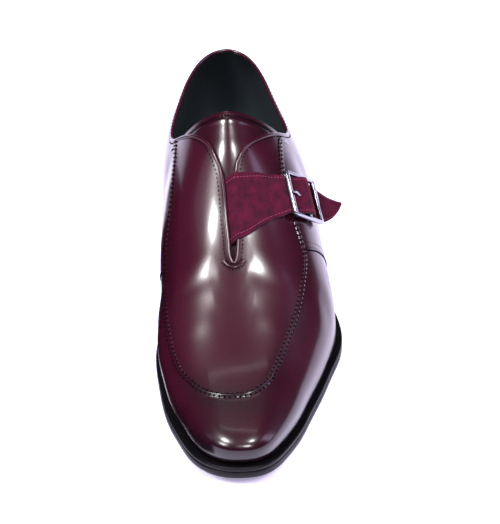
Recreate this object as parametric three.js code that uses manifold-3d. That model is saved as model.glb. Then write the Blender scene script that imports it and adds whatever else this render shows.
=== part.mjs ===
// Monk strap shoe for the left foot, standing on its sole and heel.
// Millimetres. Toe toward -Y, outer side of the foot toward +X, up +Z, floor at Z = 0.
import * as THREE from "three";
import { mergeVertices } from "three/addons/utils/BufferGeometryUtils.js";
import Module from "manifold-3d";

const wasm = await Module();
wasm.setup();

// Main sizes
const SHOE_LENGTH = 300;
const BALL_WIDTH = 108.8;
const INSTEP_HEIGHT = 94;
const HEEL_HEIGHT = 22;
const TOE_SPRING = 9;

// Bottom
const SOLE_THICKNESS = 5.2;
const WELT_THICKNESS = 3;
const WELT_LAP = 1.2;
const SOLE_BEVEL = 0.9;
const EDGE_AT_HEEL = 1.8;
const EDGE_AT_TOE = 4.2;
const HEEL_DEPTH = 72;
const HEEL_INSET = 0.5;
const HEEL_TAPER = 1.6;
const HEEL_RAKE = 2.5;
const BREAST_STEP = 2;
const INSOLE_THICKNESS = 3;
const FOOTBED_GAP = 0.6;

// Upper
const WALL = 1.8;
const SEAM_WIDTH = 3.6;
const SEAM_HEIGHT = 0.7;
const STRAP_THICKNESS = 1.5;
const TONGUE_THICKNESS = 2;
const TONGUE_LIFT = 2.5;
const CLEARANCE = 0.3;

// Strap, buckle, prong and tab
const STRAP_WIDTH = 23;
const STRAP_TUCK = 6;
const STRAP_LANDING = 0.5;
const STRAP_APPROACH = 12;
const TAIL_LENGTH = 20;
const TAIL_RISE = 8;
const BUCKLE_LENGTH = 30;
const BAR_WIDTH = 3;
const BAR_THICKNESS = 2.4;
const BAR_BEVEL = 0.5;
const ARM_WIDTH = 2.2;
const ARM_GAP = 0.6;
const WINDOW_RADIUS = 1.3;
const PIN_RADIUS = 0.9;
const PRONG_RADIUS = 0.8;
const PRONG_RING_WIDTH = 3.2;
const TAB_WIDTH = 17;
const TAB_THICKNESS = 1.2;
const TAB_LENGTH = 9;

// Rounding of the ends seen from above
const TOE_RADIUS = 50;
const TOE_SQUARENESS = 2.41;
const HEEL_RADIUS = 40;
const HEEL_SQUARENESS = 2.3;
const COLLAR_SQUARENESS = 1.6;

// Shares of the length between which the sole lies flat on the floor
const FLAT_FROM = 0.635;
const FLAT_TO = 0.735;

// Shares of the way round from the heel's back (0) to the toe's tip (1)
const HEEL_FAN = 0.12;
const TOE_FAN = 0.8;
const SLIT_END = 0.583;

// Where the buckle's middle bar crosses the outer side, and how the bars run there: the way round
// and the way up, and half the reach round and half the drop of a bar's line
const BUCKLE_ROUND = 0.417;
const BUCKLE_UP = 0.522;
const BAR_REACH = 0.035;
const BAR_DROP = 0.016;

// Shares of the way up left between the seam's top and the opening's edge, and between the seam's
// foot and that edge, where the seam runs out at the collar
const SEAM_STOP = 0.03;
const SEAM_RUN_OUT = 0.075;

// Share of the tongue's length that stands free, and its lean back as a share of its lift
const TONGUE_FREE = 0.2;
const TONGUE_LEAN = 0.4;

// How much the strap's and tab's gaps grow where the side slopes away under the buckle
const SLOPE_GAP = 1.2;

// Prong's radius at its tip, as a share of its radius at the ring
const PRONG_TIP = 0.6;

// Way up at which distances near the ridge are measured
const NEAR_RIDGE = 0.9;

// Share of the way up the side where the wall stands straight, and how fast it tucks in below
const EQUATOR = 0.2;
const TUCK_POWER = 2.5;

// Power of the toe's curve off the floor, how steeply the arch rises to the heel, the shares of the
// length between which the sole's edge widens, and the power of the ridge's lean
const TOE_CURVE = 2.2;
const ARCH_RISE = 1.12;
const EDGE_FROM = 0.1;
const EDGE_TO = 0.7;
const LEAN_POWER = 1.5;

// Share of the raised seam's width that each of its slopes takes
const SEAM_SLOPE = 0.14;

// Corners that fall on the same step of this grid are one
const CORNERS_PER_MM = 500;

const HALF_BALL = BALL_WIDTH / 2;

// Last, from the heel's back to the toe's tip. at is a share of the length. crest and equator are
// shares of the instep height; axis, half, bulge and lean are shares of half the ball's width.
// axis is the centre line, half the sole's half width, crest the ridge over the seat, bulge how far
// the wall stands out beyond its foot, lean the ridge's shift to the inner side, boxy the roundness.
const LAST = [
  { at: 0.00, axis: -0.070, half: 0.568, crest: 0.874, bulge: 0.029, equator: 0.223, boxy: 2.20, lean: -0.009 },
  { at: 0.10, axis: -0.085, half: 0.556, crest: 0.843, bulge: 0.045, equator: 0.223, boxy: 2.10, lean: -0.028 },
  { at: 0.20, axis: -0.066, half: 0.629, crest: 0.846, bulge: 0.149, equator: 0.223, boxy: 1.90, lean: -0.074 },
  { at: 0.30, axis: -0.018, half: 0.669, crest: 1.000, bulge: 0.200, equator: 0.223, boxy: 1.72, lean: -0.129 },
  { at: 0.40, axis: 0.000, half: 0.743, crest: 0.984, bulge: 0.176, equator: 0.223, boxy: 1.76, lean: -0.151 },
  { at: 0.50, axis: 0.020, half: 0.899, crest: 0.803, bulge: 0.075, equator: 0.207, boxy: 1.95, lean: -0.162 },
  { at: 0.58, axis: 0.042, half: 0.987, crest: 0.676, bulge: 0.017, equator: 0.181, boxy: 2.10, lean: -0.173 },
  { at: 0.64, axis: 0.008, half: 1.000, crest: 0.585, bulge: 0.020, equator: 0.160, boxy: 2.20, lean: -0.154 },
  { at: 0.70, axis: -0.045, half: 0.935, crest: 0.495, bulge: 0.046, equator: 0.138, boxy: 2.25, lean: -0.110 },
  { at: 0.76, axis: -0.091, half: 0.857, crest: 0.418, bulge: 0.042, equator: 0.128, boxy: 2.30, lean: -0.070 },
  { at: 0.82, axis: -0.131, half: 0.760, crest: 0.351, bulge: 0.039, equator: 0.112, boxy: 2.35, lean: -0.033 },
  { at: 0.88, axis: -0.147, half: 0.656, crest: 0.296, bulge: 0.031, equator: 0.101, boxy: 2.40, lean: -0.007 },
  { at: 0.94, axis: -0.170, half: 0.583, crest: 0.255, bulge: 0.028, equator: 0.096, boxy: 2.45, lean: 0.000 },
  { at: 1.00, axis: -0.151, half: 0.547, crest: 0.229, bulge: 0.024, equator: 0.096, boxy: 2.50, lean: 0.000 },
];

// Collar, facings and slit: how far up the side each edge lies (1 is the ridge), by the way round
const OPENING = [
  { round: 0.00, inner: 0.610, outer: 0.610 },
  { round: 0.06, inner: 0.598, outer: 0.600 },
  { round: 0.12, inner: 0.560, outer: 0.568 },
  { round: 0.18, inner: 0.520, outer: 0.532 },
  { round: 0.235, inner: 0.492, outer: 0.512 },
  { round: 0.27, inner: 0.530, outer: 0.545 },
  { round: 0.31, inner: 0.642, outer: 0.640 },
  { round: 0.35, inner: 0.764, outer: 0.752 },
  { round: 0.375, inner: 0.841, outer: 0.836 },
  { round: 0.40, inner: 0.893, outer: 0.909 },
  { round: 0.422, inner: 0.928, outer: 0.944 },
  { round: 0.45, inner: 0.950, outer: 0.957 },
  { round: 0.50, inner: 0.960, outer: 0.962 },
  { round: 0.55, inner: 0.972, outer: 0.980 },
  { round: 0.575, inner: 0.986, outer: 0.992 },
  { round: 0.583, inner: 1.000, outer: 1.000 },
];

// Raised seam round the apron, from the collar to the toe, measured like the opening
const APRON = [
  { round: 0.00, inner: 0.720, outer: 0.720 },
  { round: 0.20, inner: 0.600, outer: 0.650 },
  { round: 0.26, inner: 0.562, outer: 0.618 },
  { round: 0.30, inner: 0.550, outer: 0.618 },
  { round: 0.36, inner: 0.536, outer: 0.632 },
  { round: 0.43, inner: 0.512, outer: 0.628 },
  { round: 0.49, inner: 0.468, outer: 0.590 },
  { round: 0.535, inner: 0.462, outer: 0.568 },
  { round: 0.583, inner: 0.484, outer: 0.593 },
  { round: 0.648, inner: 0.520, outer: 0.627 },
  { round: 0.712, inner: 0.528, outer: 0.674 },
  { round: 0.772, inner: 0.580, outer: 0.728 },
  { round: 0.835, inner: 0.745, outer: 0.820 },
  { round: 0.90, inner: 0.850, outer: 0.870 },
  { round: 1.00, inner: 0.890, outer: 0.890 },
];

// Tongue, from its top (along 0) to its lower end (along 1): the way round at its middle, how far
// its sides trail behind the middle, and how far down the side it reaches
const TONGUE = [
  { along: 0.00, round: 0.318, trail: -0.028, reach: 0.600 },
  { along: 0.15, round: 0.352, trail: -0.014, reach: 0.640 },
  { along: 0.35, round: 0.415, trail: 0.000, reach: 0.715 },
  { along: 0.65, round: 0.510, trail: 0.000, reach: 0.760 },
  { along: 1.00, round: 0.610, trail: 0.000, reach: 0.800 },
];

// Strap's two edges over the outer side, from the slit (along 0) to shortly before the buckle
const STRAP = [
  { along: 0.00, ankleRound: 0.434, ankleUp: 0.957, toeRound: 0.543, toeUp: 0.978 },
  { along: 0.33, ankleRound: 0.431, ankleUp: 0.885, toeRound: 0.530, toeUp: 0.900 },
  { along: 0.67, ankleRound: 0.426, ankleUp: 0.815, toeRound: 0.511, toeUp: 0.822 },
  { along: 1.00, ankleRound: 0.421, ankleUp: 0.745, toeRound: 0.494, toeUp: 0.742 },
];

// Strap between that and the near bar: share of the approach, and its two edges as shares of half
// the strap's width
const APPROACH = [
  { share: 0.58, ankle: -1.02, toe: 1.15 },
  { share: 0.83, ankle: -1.00, toe: 1.04 },
];

// Strap's end beyond the buckle: shares of the tail's length and rise, and its two edges as
// shares of half the strap's width
const TAIL = [
  { along: 0.12, rise: 0.01, ankle: -1.00, toe: 1.00 },
  { along: 0.35, rise: 0.15, ankle: -0.74, toe: 0.95 },
  { along: 0.62, rise: 0.44, ankle: -0.42, toe: 0.74 },
  { along: 0.85, rise: 0.77, ankle: -0.22, toe: 0.38 },
  { along: 1.00, rise: 1.00, ankle: -0.12, toe: 0.00 },
];

// A smooth curve through a table's column, as a function of its first column
function column(rows, key, name, scale = 1, keyScale = 1) {
  const x = rows.map((row) => row[key] * keyScale);
  const y = rows.map((row) => row[name] * scale);
  const n = x.length;
  const upper = new Array(n).fill(0);
  const right = new Array(n).fill(0);
  const bend = new Array(n).fill(0);
  for (let i = 1; i < n - 1; i++) {
    const before = x[i] - x[i - 1];
    const after = x[i + 1] - x[i];
    const pivot = 2 * (before + after) - before * upper[i - 1];
    const turn = 6 * ((y[i + 1] - y[i]) / after - (y[i] - y[i - 1]) / before);
    upper[i] = after / pivot;
    right[i] = (turn - before * right[i - 1]) / pivot;
  }
  for (let i = n - 2; i > 0; i--) bend[i] = right[i] - upper[i] * bend[i + 1];
  return (value) => {
    const v = Math.min(Math.max(value, x[0]), x[n - 1]);
    let i = 0;
    while (i < n - 2 && v > x[i + 1]) i++;
    const span = x[i + 1] - x[i];
    const a = (x[i + 1] - v) / span;
    const b = 1 - a;
    const curve = ((a ** 3 - a) * bend[i] + (b ** 3 - b) * bend[i + 1]) * span * span / 6;
    return a * y[i] + b * y[i + 1] + curve;
  };
}

const alongLast = (name, scale) => column(LAST, "at", name, scale, SHOE_LENGTH);
const axis = alongLast("axis", HALF_BALL);
const half = alongLast("half", HALF_BALL);
const crestHeight = alongLast("crest", INSTEP_HEIGHT);
const bulge = alongLast("bulge", HALF_BALL);
const equatorHeight = alongLast("equator", INSTEP_HEIGHT);
const boxiness = alongLast("boxy", 1);
const lean = alongLast("lean", HALF_BALL);
const openings = { [-1]: column(OPENING, "round", "inner"), 1: column(OPENING, "round", "outer") };
const aprons = { [-1]: column(APRON, "round", "inner"), 1: column(APRON, "round", "outer") };

const clamp01 = (v) => Math.min(Math.max(v, 0), 1);
const ease = (v) => clamp01(v) ** 2 * (3 - 2 * clamp01(v));
const mix = (a, b, k) => a + (b - a) * k;

// Heights over the floor at a distance from the heel's back
function soleBottom(s) {
  const front = Math.max((s / SHOE_LENGTH - FLAT_TO) / (1 - FLAT_TO), 0);
  const back = (FLAT_FROM - s / SHOE_LENGTH) / FLAT_FROM;
  return TOE_SPRING * front ** TOE_CURVE + HEEL_HEIGHT * ease(ARCH_RISE * back);
}
const weltBottom = (s) => soleBottom(s) + SOLE_THICKNESS + CLEARANCE;
const seat = (s) => weltBottom(s) + WELT_THICKNESS;

// How far the sole's edge stands out beyond the foot of the upper
const edgeOut = (s) => mix(EDGE_AT_HEEL, EDGE_AT_TOE,
  ease((s / SHOE_LENGTH - EDGE_FROM) / (EDGE_TO - EDGE_FROM)));

// Where a rib starts on the centre line, and its share sideways and endways, at a way round
function rib(round, high = 0) {
  const heelTurn = (1 - clamp01(round / HEEL_FAN)) * Math.PI / 2;
  const toeTurn = clamp01((round - TOE_FAN) / (1 - TOE_FAN)) * Math.PI / 2;
  const middle = clamp01((round - HEEL_FAN) / (TOE_FAN - HEEL_FAN));
  const start = mix(HEEL_RADIUS, SHOE_LENGTH - TOE_RADIUS, middle);
  if (heelTurn > 0) {
    const power = 2 / mix(HEEL_SQUARENESS, COLLAR_SQUARENESS, high);
    return { start, side: Math.cos(heelTurn) ** power, end: -(Math.sin(heelTurn) ** power) };
  }
  const power = 2 / TOE_SQUARENESS;
  const side = round >= 1 ? 0 : Math.cos(toeTurn) ** power;
  return { start, side, end: Math.sin(toeTurn) ** power };
}

// A point of the sole's outline, drawn in by an inset that may change along the shoe
function outline(round, side, inset, height) {
  const r = rib(round);
  const radius = r.end < 0 ? HEEL_RADIUS : TOE_RADIUS;
  const reach = radius - inset(r.start + r.end * radius);
  const s = r.start + r.end * reach;
  return [axis(s) + side * r.side * (half(s) - inset(s)), s, height(s)];
}

// A point of the upper: the way round, the way up (0 foot, 1 ridge), side and depth into the wall
function surface(round, up, side, depth) {
  const above = clamp01((up - EQUATOR) / (1 - EQUATOR));
  const tuck = 1 - (1 - clamp01(up / EQUATOR)) ** TUCK_POWER;
  const r = rib(round, above);
  const angle = above * Math.PI / 2;
  const power = 2 / boxiness(r.start);
  const out = above >= 1 ? 0 : Math.cos(angle) ** power;
  const rise = Math.sin(angle) ** power;
  const edge = r.end < 0 ? HEEL_RADIUS - EDGE_AT_HEEL : TOE_RADIUS - EDGE_AT_TOE;
  const s = r.start + out * r.end * (edge - depth + bulge(r.start) * tuck);
  const width = half(s) - edgeOut(s) - depth + bulge(s) * tuck;
  const slope = (crestHeight(s + 1) + seat(s + 1) - crestHeight(s - 1) - seat(s - 1)) / 2;
  const crest = crestHeight(s) - depth * Math.hypot(1, slope);
  const equator = equatorHeight(s);
  const height = equator * clamp01(up / EQUATOR) + (crest - equator) * rise;
  const shift = lean(s) * clamp01(height / crestHeight(s)) ** LEAN_POWER;
  return [axis(s) + side * out * r.side * width + shift, s, seat(s) + height];
}

// Closed mesh under construction: equal corners share one vertex
class Skin {
  constructor() {
    this.found = new Map();
    this.points = [];
    this.faces = [];
  }

  corner(p) {
    const key = p.map((v) => Math.round(v * CORNERS_PER_MM)).join(",");
    if (!this.found.has(key)) {
      this.found.set(key, this.points.length);
      this.points.push(p);
    }
    return this.found.get(key);
  }

  face(a, b, c) {
    const t = [this.corner(a), this.corner(b), this.corner(c)];
    if (new Set(t).size === 3) this.faces.push(t);
  }

  quad(a, b, c, d) {
    this.face(a, b, c);
    this.face(a, c, d);
  }

  // A patch of rows of points; turned when side is -1, so both halves of the shoe face outward
  patch(rows, side = 1) {
    for (let i = 0; i + 1 < rows.length; i++) {
      for (let j = 0; j + 1 < rows[i].length; j++) {
        const four = [rows[i][j], rows[i + 1][j], rows[i + 1][j + 1], rows[i][j + 1]];
        if (side < 0) four.reverse();
        this.quad(...four);
      }
    }
  }

  // The faces, all turned if need be so that they point out of the placed body
  outward(pts) {
    let volume = 0;
    for (const [a, b, c] of this.faces) {
      const [p, q, r] = [pts[a], pts[b], pts[c]];
      volume += p[0] * (q[1] * r[2] - q[2] * r[1]) - p[1] * (q[0] * r[2] - q[2] * r[0])
        + p[2] * (q[0] * r[1] - q[1] * r[0]);
    }
    return volume > 0 ? this.faces : this.faces.map(([a, b, c]) => [a, c, b]);
  }

  // The body as a closed solid that can be joined and cut
  solid() {
    return new wasm.Manifold(new wasm.Mesh({
      numProp: 3,
      vertProperties: new Float32Array(this.points.flat()),
      triVerts: new Uint32Array(this.outward(this.points).flat()),
    }));
  }

  // The finished body, in the shoe's frame: toe toward -Y
  geometry() {
    const pts = this.points.map((p) => [p[0], -p[1], p[2]]);
    const g = new THREE.BufferGeometry();
    g.setAttribute("position", new THREE.Float32BufferAttribute(pts.flat(), 3));
    g.setIndex(this.outward(pts).flat());
    return g;
  }
}

// A joined or cut solid as a skin
function fromSolid(body) {
  const mesh = body.getMesh();
  const skin = new Skin();
  const point = (k) => Array.from(mesh.vertProperties.slice(3 * k, 3 * k + 3));
  for (let k = 0; k < mesh.triVerts.length; k += 3) {
    skin.face(...[0, 1, 2].map((n) => point(mesh.triVerts[k + n])));
  }
  return skin;
}

// A closed geometry as a skin, every point carried to its place
function fromGeometry(geometry, place) {
  const plain = new THREE.BufferGeometry();
  plain.setAttribute("position", geometry.getAttribute("position").clone());
  if (geometry.index) plain.setIndex(geometry.index.clone());
  const merged = mergeVertices(plain, 1e-4);
  const position = merged.getAttribute("position");
  const skin = new Skin();
  const point = (k) => {
    const v = merged.index.getX(k);
    return place([position.getX(v), position.getY(v), position.getZ(v)]);
  };
  for (let k = 0; k < merged.index.count; k += 3) skin.face(point(k), point(k + 1), point(k + 2));
  return skin;
}

// A sheet of even thickness over rows of points, closed round its rim
function slab(rows, thickness) {
  const grid = rows.map((row) => row.map((p) => new THREE.Vector3(...p)));
  const last = rows.length - 1;
  const end = rows[0].length - 1;
  const at = (i, j) => grid[Math.min(Math.max(i, 0), last)][Math.min(Math.max(j, 0), end)];
  const offset = (k) => grid.map((row, i) => row.map((p, j) => {
    const before = at(i, j).clone().sub(at(i - 1, j)).normalize();
    const after = at(i + 1, j).clone().sub(at(i, j)).normalize();
    const across = at(i, j + 1).clone().sub(at(i, j - 1));
    const normal = before.clone().add(after).cross(across).normalize();
    const bend = Math.max(before.lengthSq() * after.lengthSq() ? before.dot(after) : 1, 0);
    return p.clone().addScaledVector(normal, k * thickness / 2 / Math.sqrt((1 + bend) / 2)).toArray();
  }));
  const top = offset(1);
  const under = offset(-1);
  const skin = new Skin();
  skin.patch(top);
  skin.patch(under, -1);
  skin.patch([under[0], top[0]]);
  skin.patch([top[last], under[last]]);
  skin.patch(rows.map((_, i) => [under[i][0], top[i][0]]));
  skin.patch(rows.map((_, i) => [top[i][end], under[i][end]]));
  return skin;
}

// Ways round at which every lengthwise piece has its corners
function stations(heelSteps, backSteps, frontSteps, toeSteps) {
  const list = [];
  for (let i = 0; i < heelSteps; i++) list.push(HEEL_FAN * i / heelSteps);
  for (let i = 0; i < backSteps; i++) list.push(mix(HEEL_FAN, SLIT_END, i / backSteps));
  for (let i = 0; i < frontSteps; i++) list.push(mix(SLIT_END, TOE_FAN, i / frontSteps));
  for (let i = 0; i <= toeSteps; i++) list.push(mix(TOE_FAN, 1, i / toeSteps));
  return list;
}
const ROUND = stations(8, 28, 10, 12);
const SIDES = [-1, 1];

// A plate whose rim is a profile of insets and heights, with flat strips across top and bottom
function plate(profile, rounds = ROUND) {
  const skin = new Skin();
  const ring = (side) => rounds.map((round) => profile.map((point) => point(round, side)));
  const rims = { [-1]: ring(-1), 1: ring(1) };
  for (const side of SIDES) skin.patch(rims[side], side);
  const last = profile.length - 1;
  for (let i = 0; i + 1 < rounds.length; i++) {
    for (const k of [0, last]) {
      const four = [rims[-1][i][k], rims[-1][i + 1][k], rims[1][i + 1][k], rims[1][i][k]];
      if (k === last) four.reverse();
      skin.quad(...four);
    }
  }
  return skin;
}

function outsole() {
  const rim = (inset, height) => (round, side) => outline(round, side, () => inset, height);
  return plate([
    rim(SOLE_BEVEL, soleBottom),
    rim(0, (s) => soleBottom(s) + SOLE_BEVEL),
    rim(0, (s) => soleBottom(s) + SOLE_THICKNESS),
  ]);
}

// The welt's inner edge, a little inside the upper's wall
const weltInner = (s) => edgeOut(s) + WALL + WELT_LAP;

function welt() {
  const skin = new Skin();
  const rim = (inset, height) => (round, side) => outline(round, side, inset, height);
  const loop = [
    rim(() => 0, weltBottom),
    rim(() => 0, (s) => seat(s) - SOLE_BEVEL),
    rim(() => SOLE_BEVEL, seat),
    rim(weltInner, seat),
    rim(weltInner, weltBottom),
    rim(() => 0, weltBottom),
  ];
  for (const side of SIDES) skin.patch(ROUND.map((round) => loop.map((f) => f(round, side))), side);
  return skin;
}

// Heel block under the seat, its breast raked back toward the floor
function heel() {
  const reachable = ROUND.filter((round) => rib(round).start < HEEL_DEPTH - BREAST_STEP);
  const breast = mix(HEEL_FAN, TOE_FAN,
    (HEEL_DEPTH - HEEL_RADIUS) / (SHOE_LENGTH - TOE_RADIUS - HEEL_RADIUS));
  const rounds = [...reachable, breast];
  const rim = (inset, height, rake) => (round, side) => {
    const p = outline(round, side, () => inset, height);
    p[1] -= rake * clamp01((p[1] - HEEL_RADIUS) / (HEEL_DEPTH - HEEL_RADIUS));
    p[2] = height(p[1]);
    return p;
  };
  const skin = plate([
    rim(HEEL_INSET + HEEL_TAPER, () => 0, HEEL_RAKE),
    rim(HEEL_INSET, (s) => soleBottom(s) - CLEARANCE, 0),
  ], rounds);
  const foot = SIDES.map((side) => rim(HEEL_INSET + HEEL_TAPER, () => 0, HEEL_RAKE)(breast, side));
  const top = SIDES.map((side) => rim(HEEL_INSET, (s) => soleBottom(s) - CLEARANCE, 0)(breast, side));
  skin.quad(foot[1], foot[0], top[0], top[1]);
  return skin;
}

// The upper stands just clear of the welt
const lift = (p) => [p[0], p[1], p[2] + CLEARANCE];

// How far up the side the footbed's top lies
const bedUp = (round) => EQUATOR * INSOLE_THICKNESS / equatorHeight(rib(round).start);

// Insole: a filler inside the welt and a footbed that reaches the upper's wall
function insole() {
  const filler = (height) => (round, side) =>
    outline(round, side, (s) => weltInner(s) + CLEARANCE, height);
  const rest = (s) => seat(s) + CLEARANCE;
  const bed = (up) => (round, side) => lift(surface(round, up(round), side, WALL + FOOTBED_GAP));
  return plate([
    filler(weltBottom),
    filler(rest),
    bed(() => 0),
    bed(bedUp),
  ]);
}

const OUTER_FOOT = [0, 0.25, 0.55, 1];
const BELOW_SEAM = [0.25, 0.5, 0.75];
const ABOVE_SEAM = [0.2, 0.4, 0.6, 0.8, 1];
const INNER_RISE = [0.16, 0.32, 0.48, 0.64, 0.78, 0.9, 1];

// Length of a rib's step per unit of its way up
function stretch(round, up, side) {
  const step = 0.005;
  const a = surface(round, up - step, side, 0);
  const b = surface(round, up + step, side, 0);
  return Math.hypot(a[0] - b[0], a[1] - b[1], a[2] - b[2]) / (2 * step);
}

const edgeUp = (round, side) => (round < SLIT_END - 1e-9 ? Math.min(openings[side](round), 1) : 1);

// The outside of the upper along one rib: plain wall, the raised apron seam, plain wall
function outerRib(round, side) {
  const edge = edgeUp(round, side);
  const points = OUTER_FOOT.map((k) => surface(round, EQUATOR * k, side, 0));
  const seam = aprons[side](round);
  const reach = SEAM_WIDTH / 2 / stretch(round, seam, side);
  const top = Math.min(seam + reach, edge - SEAM_STOP);
  const foot = Math.min(seam - reach, edge - SEAM_RUN_OUT);
  const rise = SEAM_HEIGHT * ease((edge - seam - reach) / SEAM_STOP + 1);
  for (const k of BELOW_SEAM) points.push(surface(round, mix(EQUATOR, foot, k), side, 0));
  points.push(surface(round, foot, side, 0));
  points.push(surface(round, mix(foot, top, SEAM_SLOPE), side, -rise));
  points.push(surface(round, mix(foot, top, 1 - SEAM_SLOPE), side, -rise));
  points.push(surface(round, top, side, 0));
  for (const k of ABOVE_SEAM) points.push(surface(round, mix(top, edge, k), side, 0));
  return points;
}

function innerRib(round, side) {
  const edge = edgeUp(round, side);
  const foot = [0, bedUp(round), EQUATOR / 2, EQUATOR];
  const points = foot.map((up) => surface(round, up, side, WALL));
  for (const k of INNER_RISE) points.push(surface(round, mix(EQUATOR, edge, k), side, WALL));
  return points;
}

// The upper: one hollow shell, open at the collar, down the slit and underneath
function upper() {
  const skin = new Skin();
  for (const side of SIDES) {
    const outside = ROUND.map((round) => outerRib(round, side).map(lift));
    const inside = ROUND.map((round) => innerRib(round, side).map(lift));
    skin.patch(outside, side);
    skin.patch(inside, -side);
    skin.patch(outside.map((row, i) => [inside[i][0], row[0]]), side);
    const open = ROUND.filter((round) => round <= SLIT_END + 1e-9).length;
    const lips = outside.slice(0, open).map((row, i) => [row.at(-1), inside[i].at(-1)]);
    skin.patch(lips, side);
  }
  return skin;
}

// Tongue under the facings, standing up behind the collar in an arch
function tongue() {
  const skin = new Skin();
  const round = column(TONGUE, "along", "round");
  const trail = column(TONGUE, "along", "trail");
  const reach = column(TONGUE, "along", "reach");
  const outerDepth = WALL + CLEARANCE + STRAP_THICKNESS + CLEARANCE;
  const across = [-1, -0.8, -0.6, -0.4, -0.2, 0, 0.2, 0.4, 0.6, 0.8, 1];
  const steps = 14;
  const along = Array.from({ length: steps + 1 }, (_, i) => i / steps);
  const sheet = (depth) => along.map((v) => across.map((u) => {
    const side = u < 0 ? -1 : 1;
    const up = 1 - Math.abs(u) * (1 - reach(v));
    const p = surface(round(v) + trail(v) * u * u, up, side, depth);
    const free = ease(1 - v / TONGUE_FREE);
    return [p[0], p[1] - TONGUE_LEAN * TONGUE_LIFT * free, p[2] + TONGUE_LIFT * free + CLEARANCE];
  }));
  const outside = sheet(outerDepth);
  const inside = sheet(outerDepth + TONGUE_THICKNESS);
  skin.patch(outside);
  skin.patch(inside, -1);
  const last = along.length - 1;
  const end = across.length - 1;
  skin.patch([inside[0], outside[0]]);
  skin.patch([outside[last], inside[last]]);
  skin.patch(along.map((_, i) => [inside[i][0], outside[i][0]]));
  skin.patch(along.map((_, i) => [outside[i][end], inside[i][end]]));
  return skin;
}

// Leather loop round the middle bar, and the heights of the strap's middle in the buckle's frame:
// under the end bars and over the loop
const LOOP_RADIUS = PIN_RADIUS + CLEARANCE + TAB_THICKNESS;
const BUCKLE_LIFT = LOOP_RADIUS + 2 * CLEARANCE;
const STRAP_LOW = -BAR_THICKNESS / 2 - CLEARANCE - STRAP_THICKNESS / 2;
const STRAP_HIGH = LOOP_RADIUS + CLEARANCE + STRAP_THICKNESS / 2;
const HALF_BUCKLE = BUCKLE_LENGTH / 2;
const HALF_WINDOW = STRAP_WIDTH / 2 + ARM_GAP;

// The buckle's frame on the outer side: x down the strap, y toward the toe, z off the shoe
function buckleSeat() {
  const at = (round, up) => new THREE.Vector3(
    ...lift(surface(BUCKLE_ROUND + round, BUCKLE_UP + up, 1, 0)));
  const y = at(BAR_REACH, -BAR_DROP).sub(at(-BAR_REACH, BAR_DROP)).normalize();
  const down = at(0, -0.01).sub(at(0, 0.01));
  const x = down.clone().addScaledVector(y, -down.dot(y)).normalize();
  const z = x.clone().cross(y);
  if (z.x < 0) z.negate();
  const origin = at(0, 0).addScaledVector(z, BUCKLE_LIFT);
  return { x, y, z, origin };
}
const seatOfBuckle = buckleSeat();

const place = (p) => seatOfBuckle.origin.clone()
  .addScaledVector(seatOfBuckle.x, p[0])
  .addScaledVector(seatOfBuckle.y, p[1])
  .addScaledVector(seatOfBuckle.z, p[2])
  .toArray();

// Height of the shoe's outer side in the buckle's frame, under a point of that frame
function sideUnder(px, py) {
  const local = (round, up) => {
    const d = new THREE.Vector3(...lift(surface(round, up, 1, 0))).sub(seatOfBuckle.origin);
    return [d.dot(seatOfBuckle.x), d.dot(seatOfBuckle.y), d.dot(seatOfBuckle.z)];
  };
  const step = 1e-4;
  let [round, up] = [BUCKLE_ROUND, BUCKLE_UP];
  for (let i = 0; i < 12; i++) {
    const p = local(round, up);
    const [a, b] = [local(round + step, up), local(round, up + step)];
    const [xa, ya] = [(a[0] - p[0]) / step, (a[1] - p[1]) / step];
    const [xb, yb] = [(b[0] - p[0]) / step, (b[1] - p[1]) / step];
    const size = xa * yb - xb * ya;
    round += ((px - p[0]) * yb - (py - p[1]) * xb) / size;
    up += ((py - p[1]) * xa - (px - p[0]) * ya) / size;
  }
  return local(round, up)[2];
}

// A round rod through points of the buckle's frame, tapering at its last point
function rod(path, radius, taper = 1) {
  const sides = 10;
  const rings = path.map((p, i) => {
    const r = i === path.length - 1 ? radius * taper : radius;
    return Array.from({ length: sides + 1 }, (_, k) => {
      const turn = 2 * Math.PI * (k % sides) / sides;
      return place([p[0], p[1] + r * Math.cos(turn), p[2] + r * Math.sin(turn)]);
    });
  });
  const skin = new Skin();
  skin.patch(rings);
  for (let k = 1; k + 1 < sides; k++) {
    const [first, final] = [rings[0], rings.at(-1)];
    skin.face(first[0], first[k], first[k + 1]);
    skin.face(final[0], final[k + 1], final[k]);
  }
  return skin;
}

// The prong's line, from the ring's wall to its rest on the near bar
const PRONG_REST = BAR_THICKNESS / 2 + CLEARANCE + PRONG_RADIUS;
const PRONG_WALL = TAB_THICKNESS - CLEARANCE;
const PRONG_PATH = [
  [-PIN_RADIUS - CLEARANCE - PRONG_WALL / 2, 0, 0],
  [-HALF_BUCKLE + BAR_WIDTH / 2, 0, PRONG_REST],
  [-HALF_BUCKLE - BAR_WIDTH / 2, 0, PRONG_REST],
];

// A ring round the middle bar, of a width along the bar
function loop(outer, width) {
  const shape = new THREE.Shape();
  shape.absarc(0, 0, outer, 0, 2 * Math.PI);
  const hole = new THREE.Path();
  hole.absarc(0, 0, PIN_RADIUS + CLEARANCE, 0, 2 * Math.PI);
  shape.holes.push(hole);
  const ring = new THREE.ExtrudeGeometry(shape, {
    depth: width, bevelEnabled: false, curveSegments: 8,
  });
  return fromGeometry(ring, (p) => place([p[0], p[2] - width / 2, p[1]])).solid();
}

function prong() {
  const ring = loop(PIN_RADIUS + CLEARANCE + PRONG_WALL, PRONG_RING_WIDTH);
  return fromSolid(ring.add(rod(PRONG_PATH, PRONG_RADIUS, PRONG_TIP).solid()));
}

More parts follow.
